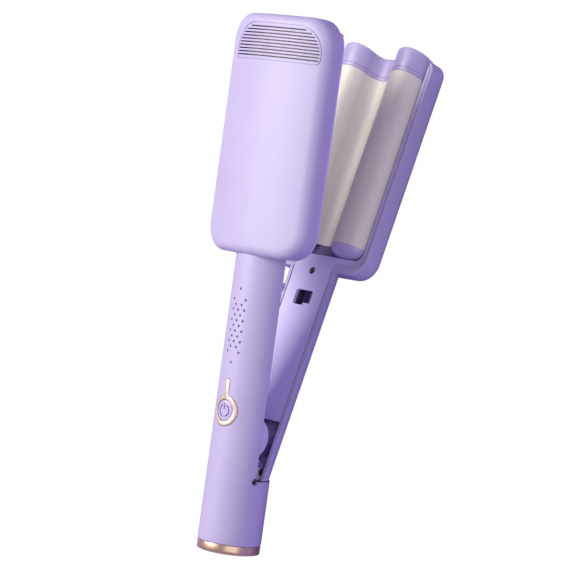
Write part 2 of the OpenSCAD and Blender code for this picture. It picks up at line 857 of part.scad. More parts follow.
function coil_point(k, s) =
    let(turn = k * 360 * spring_turns / coil_rings)
    let(side = s * 360 / coil_sides)
    let(reach = coil_r + spring_wire / 2 * cos(side))
    [reach * cos(turn),
     -coil_half + coil_pitch * turn / 360 + spring_wire / 2 * sin(side),
     reach * sin(turn)];

function coil_quad(k, s) =
    let(a = k * coil_sides + s, b = k * coil_sides + (s + 1) % coil_sides)
    [[a, b, b + coil_sides], [a, b + coil_sides, a + coil_sides]];

module hinge_spring() {
    rings = [for (k = [0 : coil_rings]) for (s = [0 : coil_sides - 1]) coil_point(k, s)];
    walls = [for (k = [0 : coil_rings - 1]) for (s = [0 : coil_sides - 1]) each coil_quad(k, s)];
    first = [for (s = [1 : coil_sides - 2]) [0, s + 1, s]];
    top = coil_rings * coil_sides;
    last = [for (s = [1 : coil_sides - 2]) [top, top + s, top + s + 1]];
    color(steel) on_front_arm() translate([hinge_x, 0, hinge_z])
        polyhedron(points = rings, faces = concat(walls, first, last));
}

// ---- rear arm ----

// Lugs on the rear shell that turn on the pin
module rear_knuckles() {
    for (side = [-1, 1]) {
        y0 = side > 0 ? knuckle_y0 : -knuckle_y1;
        y1 = y0 + knuckle_y1 - knuckle_y0;
        y_rod(hinge_x, hinge_z, y0, y1, knuckle_r);
        span([hinge_x - 1, y0, -bore_r], [hinge_x + knuckle_r + 4, y1, hinge_z]);
    }
}

// Half-space behind the tube's mouth at the open stop, as the closed rear arm sees it
module mouth_side() {
    translate([hinge_x, 0, hinge_z])
        rotate([0, -open_angle, 0])
            span([-face_big, -face_big, -face_big],
                 [mouth_x + stop_gap - hinge_x, face_big, face_big]);
}

module lock_slot() {
    half_l = slider_neck_l / 2 + slot_play;
    half = slider_neck_w / 2 + slot_play;
    span([slider_x - half_l, -half, -grip_r - cut],
         [slider_x + half_l + lock_travel, half, -grip_r / 2]);
}

module screw_boss() {
    boss_top = -half_gap - panel_t;
    translate([screw_x, 0, -bore_r - 0.5]) difference() {
        cylinder(h = bore_r + 0.5 + boss_top, r = boss_r);
        translate([0, 0, 2]) cylinder(h = bore_r, r = screw_r + 0.02);
    }
}

// Outline of the head's part of the rear panel and of the curves that lead in from the handle
module panel_outline(grow) {
    plan(rim_x0 - grow, rear_x1 - wall - seat + grow, 2 * (frame_y + grow),
         rear_corner_r, rear_tip_r - wall);
    translate([rim_x0 - rim_fillet, -panel_y - rim_fillet]) difference() {
        square([rim_fillet + grow + seat, 2 * (panel_y + rim_fillet)]);
        circle(rim_fillet - grow);
        translate([0, 2 * (panel_y + rim_fillet)]) circle(rim_fillet - grow);
    }
}

// Rim inside the head's near wall that the panel's curved edge follows
module near_rim() {
    translate([0, 0, -half_gap - panel_t]) linear_extrude(panel_t) difference() {
        plan(head_x0 + cut, head_x0 + 2 * rear_corner_r, head_w - 2 * cut, rear_corner_r - cut, cut);
        panel_outline(seat);
        translate([head_x0, -panel_y - seat]) square([rim_x0 - head_x0, 2 * (panel_y + seat)]);
        translate([head_x0 + rear_corner_r, -head_w]) square([2 * rear_corner_r, 2 * head_w]);
    }
}

module rear_shell() {
    color(lavender) on_rear_arm() {
        difference() {
            union() {
                intersection() {
                    x_rod(mouth_x - grip_r, head_x0 + wall, grip_r);
                    span([mouth_x - grip_r, -grip_r, -grip_r], [head_x0 + wall, grip_r, -half_gap]);
                }
                turned_over()
                    head_block(rear_x1, 0, rear_crest, rear_crown_r, rear_corner_r, rear_tip_r,
                               half_gap);
            }
            turned_over()
                head_block(rear_x1, wall, rear_crest, rear_crown_r, rear_corner_r, rear_tip_r,
                           half_gap - cut);
            x_rod(mouth_x - grip_r - cut, head_x0 + wall + cut, bore_r);
            mouth_side();
            lock_slot();
            span([rear_x1 - wall - cut, -frame_open_y, -foot_depth - seat],
                 [arm_l + cut, frame_open_y, 0]);
        }
        near_rim();
        difference() {
            intersection() {
                rear_knuckles();
                x_rod(mouth_x - grip_r, head_x0, bore_r + 0.4);
            }
            y_rod(hinge_x, hinge_z, -grip_r, grip_r, pin_d / 2 + pin_play);
            mouth_side();
        }
        screw_boss();
        turned_over() carrier_posts(rear_crest - wall);
    }
}

module rear_inner_panel() {
    color(deep_lavender) on_rear_arm() difference() {
        union() {
            span([rear_panel_x0, -panel_y, -half_gap - panel_t],
                 [head_x0 + 6, panel_y, -half_gap]);
            translate([0, 0, -half_gap - panel_t]) linear_extrude(panel_t) panel_outline(0);
        }
        translate([0, 0, -half_gap - panel_t - cut])
            linear_extrude(panel_t + 2 * cut) {
                plan(frame_open_x0, head_x1, 2 * frame_open_y, frame_open_r, cut);
                plan(window_x0, window_x0 + window_l, window_w, 1.5, 1.5);
            }
        translate([screw_x, 0, -half_gap - screw_sink - screw_head_h])
            cylinder(h = grip_r, r = screw_head_r);
        translate([screw_x, 0, -grip_r]) cylinder(h = grip_r, r = screw_r + 0.02);
    }
}

module rear_wave_plate() {
    color(satin_metal) on_rear_arm() wave_plate(1);
}

module rear_far_cap() {
    color(lavender) on_rear_arm() far_cap(1);
}

module rear_near_cap() {
    color(lavender) on_rear_arm() near_cap(1);
}

module rear_plate_carrier() {
    color(mica) on_rear_arm() plate_carrier();
}

module rear_heaters() {
    color(steel) on_rear_arm() heater_bars(1);
}

module rear_heater_clamps() {
    color(satin_metal) on_rear_arm() heater_clamps(1);
}

module rear_thermostat() {
    color(steel) on_rear_arm()
        span([fuse_x, -4, -carrier_z - 3.5], [fuse_x + 14, 4, -carrier_z]);
}

// Leads lie in the bottom of the handle and pass between the plate carrier and the head's back
module rear_heater_leads() {
    lead_y = 9;
    reach = bore_r - lead_r - shade;
    deepest = rear_crest - wall - lead_r - shade;
    lead_drop = min(deepest, max(carrier_z + lead_r + seat, sqrt(pow(reach, 2) - pow(lead_y, 2))));
    color(wire_red) on_rear_arm()
        for (side = [-1, 1])
            translate([0, side * lead_y, -lead_drop])
                x_rod(rear_panel_x0 - 10, plate_x0 + 6, lead_r);
}

module rear_panel_screw() {
    color(steel) on_rear_arm()
        panel_screw(screw_x, -half_gap - screw_sink, -bore_r + 3);
}

// Thumb pad outside, neck through the slot, and the catch that stands up in the window
module lock_slider() {
    pad_l = 14;
    pad_w = 10;
    pad_gap = 0.3;
    pad_t = 2;
    plate_half_l = 9;
    plate_half_w = 4.5;
    neck_sink = 0.5;
    rib_r = 0.8;
    rib_z = -grip_r - pad_gap - pad_t - rib_r / 2;
    color(deep_lavender) on_rear_arm() translate([slider_x, 0, 0]) {
        span([-1.5 * catch_l, -catch_w / 2, slider_plate_z0],
             [-catch_l / 2, catch_w / 2, catch_top]);
        span([-catch_l, -catch_w / 2, catch_top - catch_t], [catch_l / 2, catch_w / 2, catch_top]);
        span([-plate_half_l, -plate_half_w, slider_plate_z0],
             [plate_half_l, plate_half_w, slider_plate_z1]);
        span([-slider_neck_l / 2, -slider_neck_w / 2, -grip_r - pad_gap - neck_sink],
             [slider_neck_l / 2, slider_neck_w / 2, slider_plate_z0]);
        difference() {
            intersection() {
                x_rod(-pad_l / 2, pad_l / 2, grip_r + pad_gap + pad_t);
                span([-pad_l / 2, -pad_w / 2, -grip_d], [pad_l / 2, pad_w / 2, 0]);
            }
            x_rod(-pad_l, pad_l, grip_r + pad_gap);
            for (x = [-4 : 2 : 4]) y_rod(x, rib_z, -pad_w, pad_w, rib_r);
        }
    }
}

handle_shell();
front_head_cover();
front_inner_panel();
front_wave_plate();
front_far_cap();
front_near_cap();
front_plate_carrier();
front_heaters();
front_heater_clamps();
front_thermal_fuse();
front_heater_leads();
front_panel_screw();
latch_hook();
control_board();
tact_switch();
button_trim();
power_button();
tail_ring();
tail_cap();
cord_swivel();
swivel_clip();
hinge_pin();
hinge_spring();
rear_shell();
rear_inner_panel();
rear_wave_plate();
rear_far_cap();
rear_near_cap();
rear_plate_carrier();
rear_heaters();
rear_heater_clamps();
rear_thermostat();
rear_heater_leads();
rear_panel_screw();
lock_slider();
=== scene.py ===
"""Looks of a two-armed hair waver that lies open: shells, wave plates, trims and studio.

Shapes are worked out in millimetres in an arm's own frame, where the arm lies closed along +X
from the tail and the other arm's side faces z = 0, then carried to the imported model's frame.
"""
from __future__ import annotations

import json
import logging
import math
from collections.abc import Sequence
from dataclasses import dataclass
from enum import Enum

import bmesh
import bpy
import numpy as np
from mathutils import Matrix, Vector


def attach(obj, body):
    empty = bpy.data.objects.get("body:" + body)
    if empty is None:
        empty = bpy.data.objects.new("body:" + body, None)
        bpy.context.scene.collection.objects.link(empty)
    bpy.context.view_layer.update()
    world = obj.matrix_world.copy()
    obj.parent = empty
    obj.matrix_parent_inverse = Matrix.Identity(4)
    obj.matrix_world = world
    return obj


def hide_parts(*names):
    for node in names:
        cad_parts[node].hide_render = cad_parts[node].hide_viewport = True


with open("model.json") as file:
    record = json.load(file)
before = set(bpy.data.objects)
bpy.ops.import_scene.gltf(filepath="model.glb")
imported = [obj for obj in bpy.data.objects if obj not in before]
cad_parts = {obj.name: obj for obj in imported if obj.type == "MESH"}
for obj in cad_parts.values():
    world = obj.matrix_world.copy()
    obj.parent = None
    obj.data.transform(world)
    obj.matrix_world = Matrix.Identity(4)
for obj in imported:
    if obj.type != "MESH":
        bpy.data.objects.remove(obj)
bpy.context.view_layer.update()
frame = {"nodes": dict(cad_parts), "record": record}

log = logging.getLogger("waver")
MM = 0.001
IMAGE_PX = 576
OVER = np.array([1.0, -1.0, -1.0])  # turns points over about the X axis


# ---- the two arms ----


class Arm(Enum):
    """The two arms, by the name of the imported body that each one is."""

    FRONT = "front_arm"
    REAR = "rear_arm"


@dataclass(frozen=True)
class Sizes:
    """Main sizes of the object in millimetres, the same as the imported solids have."""

    grip_r: float = 18.0
    wall: float = 2.2
    half_gap: float = 3.4
    length: float = 301.0
    rear_length: float = 298.5
    head_l: float = 134.0
    half_w: float = 38.5
    mouth_x: float = 42.0
    hinge_x: float = 47.0
    hinge_z: float = -4.0
    ring_h: float = 5.1
    button_x: float = 79.3
    button_r: float = 5.9
    panel_t: float = 2.0

    @property
    def head_x(self) -> float:
        """Where the heads begin."""
        return self.length - self.head_l

    @property
    def bore_r(self) -> float:
        """Inner radius of the grip."""
        return self.grip_r - self.wall


SIZE = Sizes()


@dataclass(frozen=True)
class Placing:
    """Turn and shift from an arm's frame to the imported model's frame.

    Args:
        turn: 3 by 3 rotation.
        anchor: a point of the arm's frame, in millimetres.
        target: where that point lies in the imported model, in metres.
    """

    turn: np.ndarray
    anchor: np.ndarray
    target: np.ndarray

    def __call__(self, points: np.ndarray) -> np.ndarray:
        """Target plus the turned distance from the anchor.

        Args:
            points: array whose last axis is (x, y, z) in millimetres.

        Returns:
            The same array in metres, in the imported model's frame.
        """
        return self.target + (points - self.anchor) @ self.turn.T * MM

    def vector(self, direction: tuple[float, float, float]) -> np.ndarray:
        """The direction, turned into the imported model's frame."""
        return self.turn @ np.asarray(direction, float)

    def undo(self, points: np.ndarray) -> np.ndarray:
        """Anchor plus the distance from the target, turned back.

        Args:
            points: array whose last axis is (x, y, z) in metres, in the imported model's frame.

        Returns:
            The same array in millimetres, in the arm's frame.
        """
        return self.anchor + (points - self.target) @ self.turn / MM


def tilt_from_up(up: np.ndarray) -> np.ndarray:
    """Rotation about Y that takes +Z to up.

    Args:
        up: unit vector in the plane y = 0.

    Returns:
        A 3 by 3 matrix whose columns are the turned axes.
    """
    return np.array([[up[2], 0.0, up[0]], [0.0, 1.0, 0.0], [-up[0], 0.0, up[2]]])


def read_placings() -> dict[Arm, Placing]:
    """Both arms' places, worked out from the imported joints.

    The power button is pressed along the front arm's -Z, the lock slides along the rear arm's
    +X, and the hinge's place is the same point of both arms.

    Returns:
        The placing of each arm.
    """
    joints = {j["name"]: j for j in frame["record"]["behaviour"]["joints"]}
    press = np.array(joints["power_press"]["axis"], float)
    slide = np.array(joints["lock_slide"]["axis"], float)
    hinge = np.array(joints["jaw_hinge"]["pos_m"], float)
    anchor = np.array([SIZE.hinge_x, 0.0, SIZE.hinge_z])
    ups = {
        Arm.FRONT: -press / np.linalg.norm(press),
        Arm.REAR: np.array([-slide[2], 0.0, slide[0]]) / np.linalg.norm(slide),
    }
    return {arm: Placing(tilt_from_up(up), anchor, hinge) for arm, up in ups.items()}


PLACE = read_placings()


# ---- outlines ----


def arc(centre: tuple[float, float], r: float, start: float, end: float, n: int) -> np.ndarray:
    """Centre plus r times the cosine and sine of n evenly spaced angles.

    Args:
        centre: middle of the arc.
        r: radius.
        start: first angle in degrees.
        end: last angle in degrees.
        n: number of points.

    Returns:
        Array of n points.
    """
    a = np.radians(np.linspace(start, end, n))
    return np.column_stack([centre[0] + r * np.cos(a), centre[1] + r * np.sin(a)])


def rounded(corners: list[tuple[float, float]], radii: list[float], steps: int = 8) -> np.ndarray:
    """Closed outline whose every corner is an arc tangent to its two sides.

    The arc's centre lies on the corner's bisector at r over the sine of the half angle, and the
    points between the two tangent points are a spherical blend of the radii to them.

    Args:
        corners: corner points in order, no three in a line.
        radii: radius at each corner, over 0.
        steps: points on each arc.

    Returns:
        Array of len(corners) times steps points.
    """
    p = np.asarray(corners, float)
    r = np.asarray(radii, float)[:, None]
    back = np.roll(p, 1, 0) - p
    ahead = np.roll(p, -1, 0) - p
    back /= np.linalg.norm(back, axis=1, keepdims=True)
    ahead /= np.linalg.norm(ahead, axis=1, keepdims=True)
    half = np.arccos(np.clip((back * ahead).sum(1, keepdims=True), -1, 1)) / 2
    bisector = back + ahead
    bisector /= np.linalg.norm(bisector, axis=1, keepdims=True)
    centre = p + bisector * r / np.sin(half)
    first = (p + back * r / np.tan(half) - centre) / r
    last = (p + ahead * r / np.tan(half) - centre) / r
    swing = (math.pi - 2 * half)[:, None]
    t = np.linspace(0, 1, steps)[None, :, None]
    fan = (np.sin((1 - t) * swing) * first[:, None] + np.sin(t * swing) * last[:, None])
    return (centre[:, None] + r[:, None] * fan / np.sin(swing)).reshape(-1, 2)


def plan_outline(x0: float, x1: float, half: float, r0: float, r1: float, steps: int) -> np.ndarray:
    """Rectangle from x0 to x1 and -half to half, with radius r0 at x0 and r1 at x1.

    Args:
        x0: near end.
        x1: far end.
        half: half the width.
        r0: corner radius at the near end.
        r1: corner radius at the far end.
        steps: points on each corner.

    Returns:
        Array of points (x, y), counter-clockwise.
    """
    corners = [(x0, -half), (x1, -half), (x1, half), (x0, half)]
    return rounded(corners, [r0, r1, r1, r0], steps)


def divided(outline: np.ndarray, counts: np.ndarray) -> np.ndarray:
    """Closed outline whose every side is cut into its own number of equal steps.

    Args:
        outline: closed outline.
        counts: steps on the side that starts at each point.

    Returns:
        Outline with the added points.
    """
    ahead = np.roll(outline, -1, 0)
    index = np.repeat(np.arange(len(outline)), counts)
    first = np.cumsum(counts) - counts
    share = (np.arange(counts.sum()) - first[index]) / counts[index]
    return outline[index] + (ahead - outline)[index] * share[:, None]


def spread(outline: np.ndarray, spacing: float) -> np.ndarray:
    """Closed outline with points added where two stand farther apart than the spacing."""
    gaps = np.linalg.norm(np.roll(outline, -1, 0) - outline, axis=1)
    return divided(outline, np.maximum(1, np.ceil(gaps / spacing).astype(int)))


# ---- meshes ----


def to_object(name: str, points: np.ndarray, faces: list[list[int]]) -> bpy.types.Object:
    """A closed mesh object from points in metres, merged where they meet, faces outwards.

    Args:
        name: object name.
        points: array of (x, y, z) in metres.
        faces: point numbers of each face.

    Returns:
        The object, linked to the scene, at the origin.
    """
    mesh = bpy.data.meshes.new(name)
    mesh.from_pydata(points, [], faces)
    made = bmesh.new()
    made.from_mesh(mesh)
    bmesh.ops.remove_doubles(made, verts=made.verts, dist=1e-7)
    bmesh.ops.recalc_face_normals(made, faces=made.faces)
    made.to_mesh(mesh)
    made.free()
    piece = bpy.data.objects.new(name, mesh)
    bpy.context.scene.collection.objects.link(piece)
    return piece


def loft(name: str, arm: Arm, loops: np.ndarray, ring: bool = False) -> bpy.types.Object:
    """Closed loops joined one to the next by quads.

    Args:
        name: object name.
        arm: arm whose frame the loops are in.
        loops: array of (loops, points, 3) in millimetres.
        ring: joins the last loop to the first, instead of closing both with a face.

    Returns:
        The object.
    """
    n, m = loops.shape[:2]
    i = np.arange(n if ring else n - 1)[:, None]
    j = np.arange(m)[None]
    k = (j + 1) % m
    quads = np.stack([i * m + j, i * m + k, (i + 1) % n * m + k, (i + 1) % n * m + j], -1)
    faces = quads.reshape(-1, 4).tolist()
    if not ring:
        faces += [list(range(m))[::-1], list(range((n - 1) * m, n * m))]
    return to_object(name, PLACE[arm](loops.reshape(-1, 3)), faces)


def swept(outline: np.ndarray, stations: Sequence[float], axis: int) -> np.ndarray:
    """Loops of one flat outline at every station along an axis.

    Args:
        outline: closed outline in the other two coordinates.
        stations: each loop's place along the axis.
        axis: 0, 1 or 2 for X, Y or Z.

    Returns:
        Array of (stations, points, 3).
    """
    shape = (len(stations), len(outline))
    parts = [np.broadcast_to(outline[:, column], shape) for column in (0, 1)]
    parts.insert(axis, np.broadcast_to(np.asarray(stations, float)[:, None], shape))
    return np.stack(parts, -1)


def prism(
    arm: Arm, outline: np.ndarray, low: float, high: float, axis: int = 2
) -> bpy.types.Object:
    """Straight tool: one flat outline carried along an axis.

    Args:
        arm: arm whose frame it is in.
        outline: closed outline in the other two coordinates.
        low: where it starts.
        high: where it ends.
        axis: 0, 1 or 2 for X, Y or Z.

    Returns:
        The tool.
    """
    return loft("tool", arm, swept(outline, (low, high), axis))


def turned(profile: np.ndarray, count: int) -> np.ndarray:
    """Profile (x, r) turned about the X axis: y is r cos a and z is r sin a.

    Args:
        profile: array of (x, r).
        count: number of points round.

    Returns:
        Array of (profile points, count, 3).
    """
    a = np.linspace(0, 2 * math.pi, count, endpoint=False)
    x = np.broadcast_to(profile[:, :1], (len(profile), count))
    return np.stack([x, profile[:, 1:] * np.cos(a), profile[:, 1:] * np.sin(a)], -1)


def combine(
    piece: bpy.types.Object, tools: list[bpy.types.Object], how: str = "DIFFERENCE"
) -> None:
    """Cuts the tools out of the piece, or joins them to it, and removes them.

    Args:
        piece: closed object to change.
        tools: closed objects.
        how: DIFFERENCE, UNION or INTERSECT.
    """
    for tool in tools:
        step = piece.modifiers.new("combine", "BOOLEAN")
        step.object = tool
        step.operation = how
        step.solver = "MANIFOLD"
    graph = bpy.context.evaluated_depsgraph_get()
    result = bpy.data.meshes.new_from_object(piece.evaluated_get(graph))
    piece.modifiers.clear()
    old = piece.data
    result.name = old.name
    piece.data = result
    bpy.data.meshes.remove(old)
    for tool in tools:
        bpy.data.objects.remove(tool)


# ---- shader groups ----

Colour = tuple[float, float, float]


def opaque(colour: Colour) -> tuple[float, float, float, float]:
    """The colour with full cover."""
    return (*colour, 1.0)


def scaled(colour: Colour, factor: float) -> Colour:
    """The colour, lighter or darker by the factor."""
    return tuple(min(1.0, c * factor) for c in colour)


class Tree:
    """Short way to make and join nodes in a node tree.

    Args:
        tree: node tree to work in.
    """

    def __init__(self, tree: bpy.types.NodeTree) -> None:
        """Keeps the tree."""
        self.tree = tree

    def fill(self, node: bpy.types.Node, sockets: dict) -> None:
        """Links or sets a node's inputs.

        Args:
            node: the node.
            sockets: output socket or plain value for each input, by name or number.
        """
        for key, value in sockets.items():
            if isinstance(value, bpy.types.NodeSocket):
                self.tree.links.new(value, node.inputs[key])
            else:
                node.inputs[key].default_value = value

    def add(self, kind: str, sockets: dict | None = None, **settings) -> bpy.types.Node:
        """A new node with its settings and sockets filled in.

        Args:
            kind: the node's type, without the word ShaderNode.
            sockets: output socket or plain value for each input, by name or number.
            settings: properties of the node.

        Returns:
            The node.
        """
        node = self.tree.nodes.new("ShaderNode" + kind)
        for key, value in settings.items():
            setattr(node, key, value)
        self.fill(node, sockets or {})
        return node

    def out(self, kind: str, sockets: dict, **settings) -> bpy.types.NodeSocket:
        """First output of a new node."""
        return self.add(kind, sockets, **settings).outputs[0]

    def span(self, value: object, a: float, b: float, c: float, d: float) -> bpy.types.NodeSocket:
        """Value carried from the range a to b into the range c to d, and kept there."""
        return self.out("MapRange", {"Value": value, 1: a, 2: b, 3: c, 4: d})

    def tinted(
        self, colour: Colour, tint: float, mask: bpy.types.NodeSocket, a: float, b: float
    ) -> bpy.types.NodeSocket:
        """The colour, darker where the mask is a and lighter where it is b.

        Args:
            colour: the middle colour.
            tint: share of the colour taken off or added at the ends.
            mask: what it follows.
            a: mask value at the dark end.
            b: mask value at the light end.

        Returns:
            The colour output.
        """
        share = self.span(mask, a, b, 0.0, 1.0)
        low, high = (opaque(scaled(colour, 1.0 + way * tint)) for way in (-1, 1))
        mixed = self.add("Mix", {"Factor": share, 6: low, 7: high}, data_type="RGBA")
        return mixed.outputs[2]


def new_group(name: str, inputs: dict[str, float], outputs: dict[str, str]) -> tuple:
    """A shader group with named number inputs and named outputs, and nothing between them.

    Args:
        name: group name.
        inputs: default of each input.
        outputs: socket type of each output, without the word NodeSocket.

    Returns:
        Its tree, the sockets that carry its inputs, and the node that takes its outputs.
    """
    group = bpy.data.node_groups.new(name, "ShaderNodeTree")
    for label, value in inputs.items():
        socket = group.interface.new_socket(label, in_out="INPUT", socket_type="NodeSocketFloat")
        socket.default_value = value
    for label, kind in outputs.items():
        group.interface.new_socket(label, in_out="OUTPUT", socket_type="NodeSocket" + kind)
    given = group.nodes.new("NodeGroupInput").outputs
    return Tree(group), given, group.nodes.new("NodeGroupOutput")


def make_grain_group() -> bpy.types.NodeTree:
    """Fine moulded grain: small noise as a normal, and wide noise as a roughness offset.

    Returns:
        The group, with outputs Normal, Haze and Cloud.
    """
    t, given, result = new_group(
        "Moulded Grain",
        {"Grain Size": 1.0, "Grain Depth": 0.1, "Haze Spread": 0.04},
        {"Normal": "Vector", "Haze": "Float", "Cloud": "Float"},
    )
    where = t.add("TexCoord").outputs["Object"]
    scale = t.out("Math", {0: 2600.0, 1: given["Grain Size"]}, operation="DIVIDE")
    fine = t.out("TexNoise", {"Vector": where, "Scale": scale, "Detail": 2.0})
    bump = {"Strength": given["Grain Depth"], "Distance": 0.0001, "Height": fine}
    normal = t.out("Bump", bump)
    wide = t.out("TexNoise", {"Vector": where, "Scale": 28.0, "Detail": 3.0, "Roughness": 0.6})
    centred = t.out("Math", {0: wide, 1: 0.5}, operation="SUBTRACT")
    haze = t.out("Math", {0: centred, 1: given["Haze Spread"]}, operation="MULTIPLY")
    t.fill(result, {"Normal": normal, "Haze": haze, "Cloud": wide})
    return t.tree


def make_streak_group() -> bpy.types.NodeTree:
    """Fine lines along X: noise drawn out lengthwise, as a mask and as a normal.

    Returns:
        The group, with outputs Mask and Normal.
    """
    t, given, result = new_group(
        "Lengthwise Streaks",
        {"Fineness": 900.0, "Depth": 0.1},
        {"Mask": "Float", "Normal": "Vector"},
    )
    where = t.add("TexCoord").outputs["Object"]
    drawn = t.out("Mapping", {"Vector": where, "Scale": (0.012, 1.0, 1.0)})
    noise = {"Vector": drawn, "Scale": given["Fineness"], "Detail": 3.0, "Roughness": 0.65}
    lines = t.out("TexNoise", noise)
    bump = {"Strength": given["Depth"], "Distance": 0.00005, "Height": lines}
    t.fill(result, {"Mask": lines, "Normal": t.out("Bump", bump)})
    return t.tree


GROUPS: dict[str, bpy.types.NodeTree] = {}


# ---- finishes ----


def new_material(name: str) -> tuple[bpy.types.Material, Tree, bpy.types.Node]:
    """A material with a plain Principled shader.

    Args:
        name: the finish's name.

    Returns:
        The material, its tree and its shader node.
    """
    material = bpy.data.materials.new(name)
    material.use_nodes = True
    return material, Tree(material.node_tree), material.node_tree.nodes["Principled BSDF"]


@dataclass(frozen=True)
class MouldedPlastic:
    """Satin moulded plastic with a fine grain, a soft cloud in its colour, and a thin gloss."""

    name: str
    colour: Colour
    roughness: float = 0.4
    grain_size: float = 1.0
    grain_depth: float = 0.08
    cloud: float = 0.03
    coat: float = 0.0
    coat_roughness: float = 0.2
    specular: float = 0.5

    def build(self) -> bpy.types.Material:
        """Makes the material.

        Returns:
            The material, named as the finish is.
        """
        material, t, shader = new_material(self.name)
        sizes = {"Grain Size": self.grain_size, "Grain Depth": self.grain_depth}
        grain = t.add("Group", sizes, node_tree=GROUPS["grain"]).outputs
        colour = t.tinted(self.colour, self.cloud, grain["Cloud"], 0.3, 0.7)
        rough = t.out("Math", {0: grain["Haze"], 1: self.roughness}, operation="ADD")
        looks = {
            "Base Color": colour,
            "Roughness": rough,
            "Normal": grain["Normal"],
            "Coat Weight": self.coat,
            "Coat Roughness": self.coat_roughness,
            "Specular IOR Level": self.specular,
        }
        t.fill(shader, looks)
        return material


@dataclass(frozen=True)
class StreakedMetal:
    """Metal or metal coating with fine lengthwise streaks in its colour, gloss and surface."""

    name: str
    colour: Colour
    roughness: float = 0.3
    metallic: float = 1.0
    fineness: float = 900.0
    depth: float = 0.1
    tint: float = 0.08
    spread: float = 0.12

    def build(self) -> bpy.types.Material:
        """Makes the material.

        Returns:
            The material, named as the finish is.
        """
        material, t, shader = new_material(self.name)
        sizes = {"Fineness": self.fineness, "Depth": self.depth}
        streaks = t.add("Group", sizes, node_tree=GROUPS["streaks"]).outputs
        mask, dull, half = streaks["Mask"], self.roughness, self.spread / 2
        looks = {
            "Base Color": t.tinted(self.colour, self.tint, mask, 0.35, 0.65),
            "Roughness": t.span(mask, 0.35, 0.65, dull - half, dull + half),
            "Normal": streaks["Normal"],
            "Metallic": self.metallic,
        }
        t.fill(shader, looks)
        return material


class Finish(Enum):
    """Every finish on the object."""

    SHELL = MouldedPlastic(
        "satin_lavender_shell", (0.47, 0.42, 0.60), 0.42, coat=0.06, specular=0.3
    )
    PANEL = MouldedPlastic("lavender_inner_panel", (0.56, 0.49, 0.76), 0.42)
    CAP = MouldedPlastic("lavender_end_cap", (0.44, 0.38, 0.61), 0.33, coat=0.25)
    BUTTON = MouldedPlastic("lavender_button", (0.47, 0.415, 0.63), 0.34, coat=0.2)
    # Painted shade: dark violet that stands in for the shadow on the near cap's slope between the
    # plate's end and the panel.
    STEP = MouldedPlastic("painted_shade_step", (0.10, 0.07, 0.22), 0.5)
    DARK = MouldedPlastic("dark_bush_rubber", (0.05, 0.045, 0.06), 0.55, grain_depth=0.2)
    SWITCH = MouldedPlastic("black_switch_body", (0.03, 0.03, 0.035), 0.4)
    BOARD = MouldedPlastic("green_circuit_board", (0.03, 0.14, 0.07), 0.35, cloud=0.2)
    # Near-black violet wire, painted shade: the colour stands in for the shade seen through the
    # lock window.
    WIRE = MouldedPlastic("wire_painted_shade", (0.03, 0.015, 0.05), 0.5)
    # Painted shade: deep violet that stands in for the shadow inside the rear tube, on its lugs and
    # boss.
    INSIDE = MouldedPlastic("painted_shade_inside", (0.17, 0.12, 0.36), 0.6, specular=0.15)
    MICA = MouldedPlastic("mica_sheet", (0.62, 0.54, 0.38), 0.5, grain_size=4.0, cloud=0.25)
    CERAMIC = MouldedPlastic("white_heater_ceramic", (0.75, 0.72, 0.66), 0.6)
    PLATE = StreakedMetal(
        "satin_champagne_plate", (0.72, 0.695, 0.58), 0.56, 0.2, depth=0.03, tint=0.03
    )
    GOLD = StreakedMetal(
        "rose_gold_trim", (0.78, 0.63, 0.49), 0.4, 0.6, 500.0, 0.03, 0.03, 0.06
    )
    RING = StreakedMetal(
        "polished_rose_gold_ring", (0.66, 0.46, 0.30), 0.3, 0.8, 500.0, 0.03, 0.03, 0.06
    )
    STEEL = StreakedMetal("plain_steel", (0.45, 0.46, 0.48), 0.32)
    # Dark steel, partly painted shade: the near-black stands in for the shade deep in the screw
    # recesses.
    SCREW = StreakedMetal("dark_steel_painted_shade", (0.06, 0.05, 0.08), 0.5, 0.5)
    SPRING = StreakedMetal("spring_channel_metal", (0.42, 0.41, 0.40), 0.4)


MATERIALS: dict[Finish, bpy.types.Material] = {}


def material_of(finish: Finish) -> bpy.types.Material:
    """The finish's material, made the first time that it is asked for.

    Args:
        finish: which finish.

    Returns:
        The shared material.
    """
    if finish not in MATERIALS:
        MATERIALS[finish] = finish.value.build()
    return MATERIALS[finish]


def dress(piece: bpy.types.Object, finish: Finish) -> None:
    """Gives a piece one finish, in place of any that it has."""
    piece.data.materials.clear()
    piece.data.materials.append(material_of(finish))


def keep_piece(
    piece: bpy.types.Object,
    body: str,
    finish: Finish,
    node: str,
    angle: float = 30.0,
) -> None:
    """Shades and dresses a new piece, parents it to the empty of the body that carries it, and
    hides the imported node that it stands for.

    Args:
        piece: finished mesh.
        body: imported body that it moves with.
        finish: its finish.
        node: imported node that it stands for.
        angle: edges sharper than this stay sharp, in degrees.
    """
    piece.data.shade_smooth()
    piece.data.set_sharp_from_angle(angle=math.radians(angle))
    dress(piece, finish)
    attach(piece, body)
    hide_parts(node)
    log.info("%s: %d faces on %s", piece.name, len(piece.data.polygons), body)


# ---- pillow shells ----


